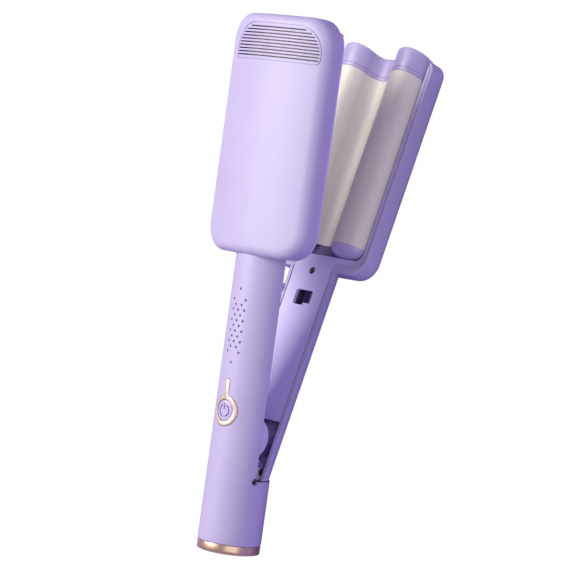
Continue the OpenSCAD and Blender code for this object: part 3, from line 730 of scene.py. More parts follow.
@dataclass(frozen=True)
class Pillow:
    """Hollow head shell: a rounded rectangle in plan with a crowned face and round shoulders.

    The face's height is the crest less the crown's drop at y: the crown's radius less the root
    of its square less y squared. Over the last shoulder millimetres it turns down along a
    quarter circle, so the wall meets the face smoothly.
    """

    crest: float
    crown: float
    shoulder: float
    near_r: float
    far_r: float
    far_x: float = SIZE.length
    rim_r: float = 0.4
    least_r: float = 0.4
    corner_steps: int = 14
    side_steps: int = 24
    rim_turns: tuple[float, ...] = (30, 60, 90)
    wall_shares: tuple[float, ...] = (0.0, 0.35, 0.7)
    shoulder_steps: int = 9
    face_shares: tuple[float, ...] = (
        0.97, 0.93, 0.86, 0.78, 0.7, 0.6, 0.5, 0.4, 0.3, 0.2, 0.1, 0.0
    )

    def face(self, y: np.ndarray, inset: float = 0.0) -> np.ndarray:
        """Height over the middle plane, at y, of the face that lies inset under the outer one."""
        return self.crest - inset - self.crown + np.sqrt(self.crown**2 - y**2)

    def outline(self, inset: float) -> np.ndarray:
        """Plan outline, shrunk by the inset, with points added along its four straight sides.

        Args:
            inset: distance inwards.

        Returns:
            Array of (x, y), with as many points at every inset.
        """
        plain = plan_outline(
            SIZE.head_x + inset,
            self.far_x - inset,
            SIZE.half_w - inset,
            max(self.near_r - inset, self.least_r),
            max(self.far_r - inset, self.least_r),
            self.corner_steps,
        )
        return divided(plain, np.tile([1] * (self.corner_steps - 1) + [self.side_steps], 4))

    def skin(self, inset: float, base: float) -> np.ndarray:
        """Loops from the rim up the wall, round the shoulder and in over the face to its middle.

        Args:
            inset: wall thickness to draw the inner skin, or 0 for the outer one.
            base: height of the rim.

        Returns:
            Array of (loops, points, 3).
        """
        r = self.shoulder - inset
        wall = self.outline(inset)
        top = self.face(wall[:, 1], inset) - r
        rings = [np.column_stack([wall, base + (top - base) * s]) for s in self.wall_shares]
        for turn in np.radians(np.linspace(0, 90, self.shoulder_steps)):
            line = self.outline(inset + r * (1 - math.cos(turn)))
            z = self.face(line[:, 1], inset) - r * (1 - math.sin(turn))
            rings.append(np.column_stack([line, z]))
        edge = rings[-1][:, :2]
        middle = edge.mean(0)
        for share in self.face_shares:
            line = middle + (edge - middle) * share
            rings.append(np.column_stack([line, self.face(line[:, 1], inset)]))
        return np.stack(rings)

    def shell(self, name: str, arm: Arm, flip: bool = False) -> bpy.types.Object:
        """The shell's whole skin: outer face, wall, rounded rim and inner face.

        Args:
            name: object name.
            arm: arm it belongs to.
            flip: turns the shell over for the rear arm, whose face points down.

        Returns:
            The object.
        """
        r, base = self.rim_r, SIZE.half_gap + self.rim_r
        turns = list(np.radians(self.rim_turns))
        insets = [r * (1 - math.cos(turn)) for turn in turns]
        insets += [SIZE.wall - inset for inset in insets[::-1]]
        rim = []
        for inset, turn in zip(insets, turns + turns[::-1]):
            line = self.outline(inset)
            rim.append(np.column_stack([line, np.full(len(line), base - r * math.sin(turn))]))
        loops = np.concatenate([self.skin(0.0, base)[::-1], rim, self.skin(SIZE.wall, base)])
        return loft(name, arm, loops * OVER if flip else loops)


# ---- wave plates and caps ----


@dataclass(frozen=True)
class Wave:
    """Section of one jaw's heated plate, drawn with its solid side below.

    Arc 1 lies in the middle, arcs 0 and 2 half a pitch to each side. The rear jaw (side 1) has
    ridges at 0 and 2, the front one (side -1) at 1. Ridges have the ridge radius, and the
    valleys' arcs touch both them and the floor line. Faces under the metal have the ridge
    radius less their inset and the valley radius more by it.
    """

    side: int
    floor_z: float = -5.47
    pitch: float = 42.0
    ridge_r: float = 13.0
    hair_gap: float = 0.8
    lip: float = 33.0
    plate_t: float = 1.6
    foot: float = 8.5
    near_seam: tuple[float, float] = (183.0, 0.05)  # x at z = 0, and slope
    far_seam: tuple[float, float] = (286.9, 0.3)
    near_x: float = 176.0
    near_slope: float = math.tan(math.radians(28.0))
    end_slope: float = math.tan(math.radians(20.0))

    @property
    def notch_r(self) -> float:
        """Radius of the notches that the other jaw's ridges close into."""
        return self.ridge_r + self.hair_gap

    @property
    def ridge_z(self) -> float:
        """Height of the ridges' centres, below the middle plane."""
        return -math.sqrt((self.ridge_r + self.notch_r) ** 2 - (self.pitch / 2) ** 2) / 2

    @property
    def valley_r(self) -> float:
        """Radius of a valley's face: the circle on the floor line that touches both ridges."""
        drop = self.floor_z - self.ridge_z
        return (self.pitch**2 / 4 + drop**2 - self.ridge_r**2) / (2 * (self.ridge_r - drop))

    def is_ridge(self, i: int) -> bool:
        """Whether arc i is a ridge."""
        return (i % 2 == 0) == (self.side > 0)

    def ridges(self) -> list[int]:
        """The arcs that are ridges."""
        return [i for i in range(3) if self.is_ridge(i)]

    def centre(self, i: int) -> np.ndarray:
        """Centre of arc i in (y, z): half a pitch per arc, below for ridges, above for valleys."""
        z = self.ridge_z if self.is_ridge(i) else self.floor_z + self.valley_r
        return np.array([(i - 1) * self.pitch / 2, z])

    def radius(self, i: int, inset: float) -> float:
        """Radius of arc i on a face that lies inset under the metal's outside."""
        return self.ridge_r - inset if self.is_ridge(i) else self.valley_r + inset

    def edge(self, inset: float) -> float:
        """Half width of the wave."""
        return (self.pitch / 2 + self.ridge_r if self.side > 0 else self.lip) - inset

    def top_line(self, inset: float = 0.0, n: int = 36) -> np.ndarray:
        """The whole wave from left to right, made from its left half and that half's mirror.

        The left half is arc 0 from its edge to the touching point, which lies on the line of
        centres one radius along, then arc 1 up to its middle.

        Args:
            inset: depth under the outside.
            n: points on arc 0, twice as many as on half of arc 1.

        Returns:
            Array of (y, z).
        """
        c0, c1 = self.centre(0), self.centre(1)
        r0, r1 = self.radius(0, inset), self.radius(1, inset)
        across = self.edge(inset) + c0[0]
        start = np.array([-across, -math.sqrt(max(0.0, r0 * r0 - across * across))])
        touch = (c1 - c0) * r0 / np.linalg.norm(c1 - c0)
        a0 = 180.0 if self.side > 0 else math.degrees(math.atan2(start[1], start[0]))
        a1 = math.degrees(math.atan2(touch[1], touch[0]))
        b0 = math.degrees(math.atan2(c0[1] - c1[1], c0[0] - c1[0]))
        b1 = -90.0 if self.side > 0 else 90.0
        half = np.concatenate([arc(c0, r0, a0, a1, n), arc(c1, r1, b0, b1, n // 2)[1:]])
        return np.concatenate([half, half[-2::-1] * np.array([-1.0, 1.0])])

    def solid_line(self, shrink: float = 0.0) -> np.ndarray:
        """Closed section of a solid cap: the wave on top, straight down to the foot.

        Args:
            shrink: distance inwards, for a rounded end.

        Returns:
            Array of (y, z).
        """
        top = self.top_line(shrink)
        feet = np.array([[top[0, 0], shrink - self.foot], [top[-1, 0], shrink - self.foot]])
        return np.concatenate([feet[:1], top, feet[1:]])

    def sheet_line(self) -> np.ndarray:
        """Closed section of the plate: the wave, then back along its underside.

        Returns:
            Array of (y, z).
        """
        outer, inner = self.top_line(), self.top_line(self.plate_t)
        feet = [[(line[end, 0], -self.foot)] for line in (outer, inner) for end in (0, -1)]
        return np.concatenate([feet[0], outer, feet[1], feet[3], inner[::-1], feet[2]])


WAVES = {Arm.REAR: Wave(1, -8.0), Arm.FRONT: Wave(-1)}


def leaning(line: np.ndarray, x: float, slope: float) -> np.ndarray:
    """Loop of a (y, z) line on a leaning plane: x plus the slope times z."""
    return np.column_stack([x + slope * line[:, 1], line])


@dataclass(frozen=True)
class Jaw:
    """The wave plate with its two end caps, drawn for the rear arm or turned over."""

    arm: Arm
    prefix: str
    tab_half: float = 28.0
    edge_r: float = 0.6
    edge_steps: int = 8
    groove: float = 0.4
    step_inset: float = 0.3
    step_gap: float = 0.6
    step_back: float = 0.5
    foot_rise: float = 0.4
    dome_inset: float = 0.1
    dome_blunt: float = 0.25
    dome_steps: int = 13
    dome_points: int = 96
    sharp: float = 35.0
    bands: tuple[tuple[float, float, int], ...] = (  # from, to, and whether in the groove
        (0.02, 0.4, 1),
        (0.5, 2.0, 0),
        (2.1, 2.5, 1),
        (2.6, 2.6, 0),
    )

    @property
    def wave(self) -> Wave:
        """The wave of this arm."""
        return WAVES[self.arm]

    def made(self, name: str, loops: list[np.ndarray]) -> bpy.types.Object:
        """Loft of loops drawn for the rear arm, turned over for the front one."""
        solid = np.stack(loops)
        return loft(name, self.arm, solid if self.arm is Arm.REAR else solid * OVER)

    def cover_wall(self, line: np.ndarray) -> np.ndarray:
        """Farthest x that the front cover leaves a cap, above its rim and inside its wall.

        Args:
            line: (y, z) points of the cap, as drawn for the rear arm.

        Returns:
            Array of x, one for each point.
        """
        if self.arm is Arm.REAR:
            return np.full(len(line), np.inf)
        wall, corner = SIZE.wall + 0.1, FRONT_PILLOW.far_r
        r = corner - wall
        y = np.abs(line[:, 0])
        past = np.maximum(y - (SIZE.half_w - corner), 0.0)
        limit = SIZE.length - corner + np.sqrt(r * r - np.minimum(past, r) ** 2)
        return np.where((line[:, 1] < -SIZE.half_gap) | (y > self.tab_half), limit, np.inf)

    def far_cap(self) -> bpy.types.Object:
        """Far cap: a band, a groove, then the wave up to an end face that leans out.

        The end lies at the arm's length plus z times the lean's tangent. Its edge is rounded:
        the section draws in by the edge's radius times one less the cosine, and falls short by
        that radius times one less the sine.

        Returns:
            The cap.
        """
        wave, loops, r = self.wave, [], self.edge_r
        seam_x, slope = wave.far_seam
        for first, last, deep in self.bands:
            for x in sorted({first, last}):
                loops.append(leaning(wave.solid_line(deep * self.groove), seam_x + x, slope))
        for turn in np.radians(np.linspace(0, 90, self.edge_steps)):
            line = wave.solid_line(r * (1 - math.cos(turn)))
            loop = leaning(line, SIZE.length - r * (1 - math.sin(turn)), wave.end_slope)
            loop[:, 0] = np.minimum(loop[:, 0], self.cover_wall(line))
            loops.append(loop)
        return self.made(self.prefix + "_far_cap_skin", loops)

    def step_x(self) -> float:
        """Where the near cap's domes begin: just short of the seam's nearest point."""
        seam_x, slope = self.wave.near_seam
        return seam_x - abs(slope) * (self.wave.ridge_z + self.wave.ridge_r) - self.step_gap

    def near_step(self) -> bpy.types.Object:
        """Near cap's inner part: the section a little inset, then a slope down from the valleys;
        its dark violet finish is painted shade.

        Returns:
            The step.
        """
        wave, x0 = self.wave, self.step_x()
        full = wave.solid_line(self.step_inset)
        reach = x0 - wave.near_x
        loops = [leaning(full, wave.near_seam[0] + self.step_back, wave.near_seam[1])]
        low = wave.floor_z - reach * wave.near_slope
        for x, top in ((x0, wave.ridge_r), (x0 - 0.01, wave.floor_z), (x0 - reach - 0.01, low)):
            z = np.minimum(full[:, 1], max(top, self.foot_rise - wave.foot))
            loops.append(np.column_stack([np.full(len(full), x), full[:, 0], z]))
        return self.made(self.prefix + "_near_step_skin", loops)

    def near_cap(self) -> bpy.types.Object:
        """Near cap: a dome on each ridge.

        Returns:
            The cap.
        """
        domes = [self.dome(i) for i in self.wave.ridges()]
        if domes[1:]:
            combine(domes[0], domes[1:], "UNION")
        domes[0].name = self.prefix + "_near_cap_skin"
        return domes[0]

    def dome(self, i: int) -> bpy.types.Object:
        """Drum on ridge i whose edge is a quarter of an ellipse, flat at the foot.

        Args:
            i: ridge number.

        Returns:
            The dome.
        """
        wave, x0 = self.wave, self.step_x()
        c, r, reach = wave.centre(i), wave.ridge_r - self.dome_inset, x0 - wave.near_x
        blunt = self.dome_blunt * r
        rings = [(wave.near_seam[0] + 1.0, r), (x0 + 0.1, r)]
        for turn in np.radians(np.linspace(0, 90, self.dome_steps)):
            rings.append((x0 - reach * math.sin(turn), blunt + (r - blunt) * math.cos(turn)))
        a = np.linspace(0, 2 * math.pi, self.dome_points, endpoint=False)
        loops = []
        for x, radius in rings:
            z = np.maximum(c[1] + radius * np.sin(a), 0.05 - wave.foot)
            loops.append(np.column_stack([np.full(len(a), x), c[0] + radius * np.cos(a), z]))
        return self.made("dome", loops)

    def plate(self) -> bpy.types.Object:
        """The sheet between the two leaning seams.

        Returns:
            The plate.
        """
        line = self.wave.sheet_line()
        seams = np.linspace(self.wave.near_seam, self.wave.far_seam, 5)
        return self.made(self.prefix + "_plate_skin", [leaning(line, *seam) for seam in seams])

    def build(self) -> None:
        """Makes the plate and both caps, and dresses them."""
        for make, finish, node, slot in (
            (self.plate, Finish.PLATE, "wave_plate", "plate"),
            (self.far_cap, Finish.CAP, "far_cap", "shell"),
            (self.near_cap, Finish.CAP, "near_cap", "shell"),
            # the near step wears the dark violet painted shade
            (self.near_step, Finish.STEP, "near_cap", "shell"),
        ):
            keep_piece(make(), self.arm.value, finish, f"{self.prefix}_{node}", self.sharp)


# ---- front arm ----

FRONT_PILLOW = Pillow(21.0, 100.0, 5.0, 16.0, 16.0)


@dataclass(frozen=True)
class FrontCover:
    """Front head's cover with its slotted grille."""

    slots: int = 10
    pitch: float = 1.8
    width: float = 0.75
    first: float = 7.5
    half: float = 31.2
    corner: float = 14.0
    centre_y: float = -2.2
    round_end: float = 0.98
    line_gap: float = 1.9
    line_w: float = 0.5
    line_deep: float = 0.6
    line_near_r: float = 2.5
    neck_r: float = 18.1
    neck_x: tuple[float, float] = (150.0, 2.3)  # start, and end past the head's edge
    far_wall: tuple[float, float] = (16.0, 1.0)  # notch inside and outside the arm's end
    top_z: float = 40.0

    def slot_tool(self, i: int) -> bpy.types.Object:
        """Cutter of slot i, whose length follows the grille's round corner.

        Args:
            i: slot number, from the far end.

        Returns:
            The cutter.
        """
        bend = max(0.0, self.corner - (0.6 + i * self.pitch))
        reach = self.half - self.corner + math.sqrt(self.corner**2 - bend**2)
        x = SIZE.length - self.first - i * self.pitch
        w = self.width / 2
        r = w * self.round_end
        line = plan_outline(x - w, x + w, reach, r, r, 5)
        line = line + np.array([0.0, self.centre_y])
        return prism(Arm.FRONT, line, SIZE.half_gap + SIZE.wall, self.top_z)

    def border_tool(self) -> bpy.types.Object:
        """Cutter of the thin line round the grille, which follows the face at an even depth.

        Returns:
            The cutter.
        """
        x1 = SIZE.length - self.first + self.line_gap
        x0 = SIZE.length - self.first - (self.slots - 1) * self.pitch - self.line_gap
        w, low, high = self.line_w, -self.line_deep, 6.0
        loops = []
        for grow, up in ((w, low), (w, high), (0.0, high), (0.0, low)):
            half, r = self.half + 0.4 + grow, self.corner + 0.6 + grow
            line = plan_outline(x0 - grow, x1 + grow, half, self.line_near_r + grow, r, 14)
            line = spread(line, 2.0) + np.array([0.0, self.centre_y])
            loops.append(np.column_stack([line, FRONT_PILLOW.face(line[:, 1]) + up]))
        return loft("border", Arm.FRONT, np.stack(loops), ring=True)

    def ridge_notch(self, i: int) -> bpy.types.Object:
        """Notch in the far wall that a ridge of the rear jaw closes into, on the ridge's centre.

        Args:
            i: ridge number.

        Returns:
            The cutter.
        """
        wave = WAVES[Arm.REAR]
        line = arc(wave.centre(i), wave.notch_r, 0, 355, 72)
        inside, outside = self.far_wall
        return prism(Arm.FRONT, line, SIZE.length - inside, SIZE.length + outside, axis=0)

    def build(self) -> None:
        """Makes the cover."""
        cover = FRONT_PILLOW.shell("front_cover_skin", Arm.FRONT)
        near, past = self.neck_x
        ends = np.array([[near, self.neck_r], [SIZE.head_x + past, self.neck_r]])
        tools = [loft("neck", Arm.FRONT, turned(ends, 96))]
        tools += [self.slot_tool(i) for i in range(self.slots)]
        tools += [self.ridge_notch(i) for i in WAVES[Arm.REAR].ridges()] + [self.border_tool()]
        combine(cover, tools)
        keep_piece(cover, Arm.FRONT.value, Finish.SHELL, "front_head_cover")


def on_grip(line: np.ndarray, rise: float) -> np.ndarray:
    """The (x, y) line lifted on to a cylinder that stands so far out of the grip.

    Its z is the root of the cylinder's radius squared less y squared.
    """
    r = SIZE.grip_r + rise
    return np.column_stack([line, np.sqrt(r * r - line[:, 1] ** 2)])


@dataclass(frozen=True)
class Handle:
    """Front grip: a full tube at the tail that goes on as a half tube to the head."""

    segments: int = 180
    bevel: float = 0.8
    notch_r: float = 2.2
    vent_r: float = 0.75
    vent_pitch: float = 5.9
    vent_x: float = 118.3
    vent_col: float = 2.2
    vent_depth: float = 1.1
    trim_r: float = 8.6
    stem_w: float = 2.9
    stem_l: float = 16.4
    trim_edge: tuple[tuple[float, float], ...] = (  # rise over the grip, and inset
        (-0.75, 0.0), (0.2, 0.0), (0.3, 0.06), (0.35, 0.18)
    )
    trim_sharp: float = 40.0
    play: float = 0.3
    pocket: tuple[float, float] = (-0.8, 6.0)  # floor and top, from the grip's surface
    button_edge: tuple[tuple[float, float], ...] = (  # rise over the grip, and inset
        (-0.45, 0.05), (-0.15, 0.15), (0.02, 0.4), (0.08, 0.9), (0.1, 2.3), (0.1, 4.3), (0.1, 5.5)
    )
    button_points: int = 96
    flange_r: float = 7.2
    flange_z: tuple[float, float] = (12.57, 13.76)
    mark_z: float = 16.9
    mark_r: tuple[float, float] = (3.8, 2.95)
    mark_gap: float = 26.0
    bar: tuple[float, float, float] = (0.7, 4.3, 0.4)  # from, to, and half its width
    clear_z: float = 25.0
    reach: tuple[float, float] = (200.0, 30.0)  # of the mouth's tool, in x and y
    open_x: float = 60.0
    straight: tuple[float, int] = (4.0, 40)  # start past the ring, and rings of points

    def vents(self) -> list[tuple[float, float, float]]:
        """Place and depth of every vent hole as (x, y, lowest z).

        Returns:
            The four through holes in the middle, then the shallow ones round them.
        """
        through, shallow = SIZE.wall + 1.0, self.vent_depth
        rows = [(0, 4, 0.0, through), (0, 1, -2.0, shallow), (0, 1, 5.0, shallow)]
        for side in (-1, 1):
            rows += [(side, 5, -0.5, shallow), (2 * side, 6, -1.0, shallow)]
        holes = []
        for column, n, first, depth in rows:
            y = column * self.vent_col
            top = math.sqrt(SIZE.grip_r**2 - y * y)
            for i in range(n):
                holes.append((self.vent_x + (first + i) * self.vent_pitch, y, top - depth))
        return holes

    def trim_line(self, grow: float) -> np.ndarray:
        """Outline of the trim: a circle with a round-ended stem towards the heads.

        Args:
            grow: distance outwards.

        Returns:
            Array of (x, y).
        """
        r, w = self.trim_r + grow, self.stem_w / 2 + grow
        meet = math.degrees(math.asin(w / r))
        ring = arc((SIZE.button_x, 0.0), r, meet, 360 - meet, 72)
        tip = arc((SIZE.button_x + self.stem_l, 0.0), w, -90, 90, 16)
        return np.concatenate([ring, tip])

    def build(self) -> None:
        """Makes the shell, the trim ring and the button."""
        self.build_shell()
        self.build_trim()
        self.build_button()

    def build_shell(self) -> None:
        """Makes the tube with its mouth, vents and button hole, and the trim's shallow pocket."""
        x0, x1 = SIZE.ring_h, SIZE.head_x + SIZE.wall
        profile = [(x0, SIZE.bore_r)]
        for turn in np.radians(np.linspace(0, 90, 6)):
            back, low = self.bevel * (1 - math.cos(turn)), self.bevel * (1 - math.sin(turn))
            profile.append((x0 + back, SIZE.grip_r - low))
        past, count = self.straight
        profile += [(x, SIZE.grip_r) for x in np.linspace(x0 + past, x1, count)]
        profile += [(x, SIZE.bore_r) for x in (x1, x0 + self.open_x)]
        loops = turned(np.array(profile), self.segments)
        shell = loft("handle_skin", Arm.FRONT, loops, ring=True)
        mouth, gap, (far, side) = SIZE.mouth_x, SIZE.half_gap, self.reach
        corners = [(mouth, -side), (far, -side), (far, gap), (mouth, gap)]
        lower = rounded(corners, [1.0, 1.0, 0.2, 0.2], 6)
        notch = arc((mouth, gap), self.notch_r, 0, 345, 24)
        tools = [prism(Arm.FRONT, line, -side, side, axis=1) for line in (lower, notch)]
        for x, y, z in self.vents():
            tools.append(prism(Arm.FRONT, arc((x, y), self.vent_r, 0, 345, 16), z, self.clear_z))
        hole = arc((SIZE.button_x, 0.0), SIZE.button_r + self.play, 0, 355, 64)
        tools.append(prism(Arm.FRONT, hole, 5.0, self.clear_z))
        line = self.trim_line(self.play)
        loops = [on_grip(line, rise) for rise in self.pocket]
        tools.append(loft("pocket", Arm.FRONT, np.stack(loops)))
        combine(shell, tools)
        keep_piece(shell, Arm.FRONT.value, Finish.SHELL, "handle_shell")

    def build_trim(self) -> None:
        """Makes the rose gold ring with its stem, edges rounded."""
        outer = self.trim_line(0.0)
        angle = np.arctan2(outer[:, 1], outer[:, 0] - SIZE.button_x)
        loops = [on_grip(self.trim_line(-inset), rise) for rise, inset in self.trim_edge]
        for rise, inset in reversed(self.trim_edge):
            r = SIZE.button_r + self.play + inset
            hole = np.column_stack([SIZE.button_x + r * np.cos(angle), r * np.sin(angle)])
            loops.append(on_grip(hole, rise))
        trim = loft("button_trim_skin", Arm.FRONT, np.stack(loops), ring=True)
        keep_piece(trim, Arm.FRONT.value, Finish.GOLD, "button_trim", self.trim_sharp)

    def build_button(self) -> None:
        """Makes the button: rounded edge, flange under the shell, engraved open ring and bar."""
        turns = np.linspace(0, 2 * math.pi, self.button_points, endpoint=False)
        unit = np.column_stack([np.cos(turns), np.sin(turns)])
        middle = np.array([SIZE.button_x, 0.0])
        low, top = self.flange_z
        side = SIZE.button_r - self.button_edge[0][1]
        rings = [(self.flange_r, low), (self.flange_r, top), (side, top)]
        loops = [np.column_stack([unit * r + middle, np.full(len(unit), z)]) for r, z in rings]
        for rise, inset in self.button_edge:
            loops.append(on_grip(unit * (SIZE.button_r - inset) + middle, rise))
        button = loft("power_button_skin", Arm.FRONT, np.stack(loops))
        first, last = self.mark_gap, 360 - self.mark_gap
        outside = arc((0, 0), self.mark_r[0], first, last, 48)
        inside = arc((0, 0), self.mark_r[1], last, first, 48)
        near, far, half = self.bar
        bar = plan_outline(near, far, half, 0.3, 0.3, 4)
        marks = []
        for line in (np.concatenate([outside, inside]), bar):
            marks.append(prism(Arm.FRONT, line + middle, self.mark_z, self.clear_z))
        combine(button, marks)
        keep_piece(button, "button", Finish.BUTTON, "power_button")


@dataclass(frozen=True)
class TailRing:
    """Polished ring at the tail, with small bevels."""

    r: float = 17.8
    inner: float = 14.9
    # bevels: distance from the end, and drop from the radius
    near_bevel: tuple[tuple[float, float], ...] = ((0.0, 0.5), (0.15, 0.2), (0.5, 0.0))
    far_bevel: tuple[tuple[float, float], ...] = ((0.35, 0.0), (0.12, 0.08), (0.0, 0.3))

    def build(self) -> None:
        """Makes the ring."""
        h = SIZE.ring_h
        profile = [(0.0, self.inner)] + [(x, self.r - low) for x, low in self.near_bevel]
        profile += [(2.0, self.r)] + [(h - x, self.r - low) for x, low in self.far_bevel]
        loops = turned(np.array(profile + [(h, self.inner)]), 160)
        ring = loft("tail_ring_skin", Arm.FRONT, loops, ring=True)
        keep_piece(ring, Arm.FRONT.value, Finish.RING, "tail_ring")


# ---- rear arm ----


@dataclass(frozen=True)
class RearShell:
    """Rear arm's shell: half tube and head tray in one moulding, with its inner lugs."""

    pillow: Pillow = Pillow(19.2, 400.0, 5.0, 12.0, 7.0, SIZE.rear_length)
    rim_x: float = 172.2
    rim_y: float = 36.2
    fillet: float = 4.0
    flat_y: float = 14.75
    boss_x: float = 166.0
    boss_r: float = 3.4
    boss_z: float = -16.3
    screw_r: float = 1.32
    screw_z: float = -14.3
    post_x: tuple[float, ...] = (192.0, 260.6)
    post_y: tuple[float, ...] = (-20.0, 20.0)
    post_z: tuple[float, float] = (-17.0, -10.5)
    post_r: float = 3.0
    open_turn: float = math.radians(16.0)
    mouth_back: float = 4.4
    lugs_y: tuple[tuple[float, float], ...] = ((-13.4, -10.2), (10.2, 13.4))
    lug_r: float = 5.0
    lug_x: tuple[float, float] = (46.0, 56.0)
    lug_top: float = -4.0
    lug_reach: float = 16.2
    lug_span: tuple[float, float] = (20.0, 160.0)
    pin_r: float = 2.05
    pin_half: float = 20.0
    end_wall: float = 3.2
    end_half: float = 34.6
    end_z: float = -8.6
    # lowest and highest corner of the lock's opening
    window: tuple[tuple[float, ...], ...] = ((143.3, -2.3, -20.0), (151.9, 2.3, -9.0))

    def half_tube(self, r: float, x0: float, x1: float, top: float) -> bpy.types.Object:
        """Lower part of a cylinder, cut flat at the top.

        Args:
            r: radius.
            x0: near end.
            x1: far end.
            top: height of the flat.

        Returns:
            The object.
        """
        edge = math.degrees(math.asin(top / r))
        line = arc((0.0, 0.0), r, 180 - edge, 360 + edge, 120)
        return loft("tube", Arm.REAR, swept(line, np.linspace(x0, x1, 24), 0))

    def box(self, low: tuple[float, ...], high: tuple[float, ...]) -> bpy.types.Object:
        """Box between its lowest and its highest corner."""
        (x0, y0, z0), (x1, y1, z1) = low, high
        return prism(Arm.REAR, np.array([(x0, y0), (x1, y0), (x1, y1), (x0, y1)]), z0, z1)

    def post(self, x: float, y: float, z0: float, z1: float, r: float) -> bpy.types.Object:
        """Upright round post."""
        return prism(Arm.REAR, arc((x, y), r, 0, 350, 36), z0, z1)

    def rim_line(self) -> np.ndarray:
        """Outline of one half of the near rim, from the handle's flat round the head's corner.

        Returns:
            Array of (x, y).
        """
        grow, corner = 0.1, self.pillow.near_r
        start = (self.rim_x - self.fillet, self.flat_y + self.fillet)
        lead = arc(start, self.fillet - grow, -90, 0, 9)
        turn = arc((self.rim_x + corner, self.rim_y - corner), corner + grow, 180, 90, 15)
        back = arc((SIZE.head_x + corner, SIZE.half_w - corner), corner - 1.0, 90, 180, 15)
        return np.concatenate([lead, turn, back, [(SIZE.head_x + 1.0, self.flat_y + grow)]])

    def behind_mouth(self) -> bpy.types.Object:
        """Everything behind the front tube's mouth at the open stop.

        Its face stands a little behind the hinge and is turned about it by the open angle.

        Returns:
            The object.
        """
        back, big = -self.mouth_back, 60.0
        along = np.array([math.cos(self.open_turn), math.sin(self.open_turn)])
        up = np.array([-along[1], along[0]])
        hinge = np.array([SIZE.hinge_x, SIZE.hinge_z])
        corners = [(back - big, -big), (back, -big), (back, big), (back - big, big)]
        line = np.array([hinge + along * a + up * b for a, b in corners])
        return prism(Arm.REAR, line, -big, big, axis=1)

    def lugs(self) -> list[bpy.types.Object]:
        """The two knuckles on the pin, each a round end on a block, kept inside the tube.

        Returns:
            The knuckles, bored and cut back behind the mouth.
        """
        made = []
        hub, (x0, x1) = np.array([SIZE.hinge_x, SIZE.hinge_z]), self.lug_x
        for y0, y1 in self.lugs_y:
            lug = prism(Arm.REAR, arc(hub, self.lug_r, 0, 350, 48), y0, y1, axis=1)
            block = self.box((x0, y0, -SIZE.bore_r), (x1, y1, self.lug_top))
            combine(lug, [block], "UNION")
            inside = turned(np.array([[x, self.lug_reach] for x in self.lug_span]), 96)
            combine(lug, [loft("inside", Arm.REAR, inside)], "INTERSECT")
            line = arc(hub, self.pin_r, 0, 350, 36)
            pin = prism(Arm.REAR, line, -self.pin_half, self.pin_half, axis=1)
            combine(lug, [pin, self.behind_mouth()])
            made.append(lug)
        return made

    def build(self) -> None:
        """Makes the shell: tray and tube joined, hollowed, then given rim, lugs, boss and posts."""
        shell = self.pillow.shell("rear_shell_skin", Arm.REAR, flip=True)
        joint = SIZE.head_x + SIZE.wall
        top, panel_z = -SIZE.half_gap, -SIZE.half_gap - SIZE.panel_t
        combine(shell, [self.half_tube(SIZE.grip_r, 30.0, joint, top)], "UNION")
        end_x, half = SIZE.rear_length - self.end_wall, self.end_half
        cutters = [
            self.half_tube(SIZE.bore_r, 20.0, joint + 0.9, top + 1.0),
            self.box((end_x, -half, self.end_z), (SIZE.length + 1.0, half, 0.0)),
            self.box(*self.window),
            self.behind_mouth(),
        ]
        combine(shell, cutters)
        added = self.lugs()
        rim = self.rim_line()
        for line in (rim, rim[::-1] * np.array([1.0, -1.0])):
            added.append(prism(Arm.REAR, line, panel_z, top - 0.02))
        added.append(self.post(self.boss_x, 0.0, self.boss_z, panel_z, self.boss_r))
        for x in self.post_x:
            added += [self.post(x, y, *self.post_z, self.post_r) for y in self.post_y]
        combine(shell, added, "UNION")
        combine(shell, [self.post(self.boss_x, 0.0, self.screw_z, 0.0, self.screw_r)])
        keep_piece(shell, Arm.REAR.value, Finish.SHELL, "rear_shell")
        # painted shade: the faces inside the tube get the deep violet finish
        self.paint_shade_inside(shell)

    def paint_shade_inside(self, shell: bpy.types.Object) -> None:
        """Paints shade on the faces inside the tube, with the lugs and the boss: a deep violet
        finish stands in for the shadow there.

        Args:
            shell: the finished shell.
        """
        mesh = shell.data
        centres = np.empty(3 * len(mesh.polygons))
        mesh.polygons.foreach_get("center", centres)
        x, y, z = PLACE[Arm.REAR].undo(centres.reshape(-1, 3)).T
        # faces inside the tube, which get the painted shade
        deep = (np.hypot(y, z) < SIZE.bore_r + 0.1) & (z < -SIZE.half_gap - 0.1)
        mesh.materials.append(material_of(Finish.INSIDE))
        mesh.polygons.foreach_set("material_index", (deep & (x < SIZE.head_x)).astype(np.int32))


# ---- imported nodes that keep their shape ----

CAD_FINISHES: dict[Finish, tuple[str, ...]] = {
    Finish.PANEL: (
        "front_inner_panel",
        "rear_inner_panel",
        "latch_hook",
        "lock_slider",
        "tail_cap",
    ),
    Finish.DARK: ("cord_swivel",),
    Finish.STEEL: ("swivel_clip", "front_thermal_fuse", "rear_thermostat"),
    Finish.SCREW: ("hinge_pin", "hinge_spring", "front_panel_screw", "rear_panel_screw"),
    Finish.MICA: ("front_plate_carrier", "rear_plate_carrier"),
    Finish.CERAMIC: ("front_heaters", "rear_heaters"),
    Finish.SPRING: ("front_heater_clamps", "rear_heater_clamps"),
    Finish.WIRE: ("front_heater_leads", "rear_heater_leads"),
    Finish.BOARD: ("control_board",),
    Finish.SWITCH: ("tact_switch",),
}


def dress_packed_nodes() -> None:
    """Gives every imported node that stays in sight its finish."""
    for finish, nodes in CAD_FINISHES.items():
        for node in nodes:
            dress(frame["nodes"][node], finish)
            log.info("%s: packed node in %s", node, finish.value.name)


# ---- studio ----


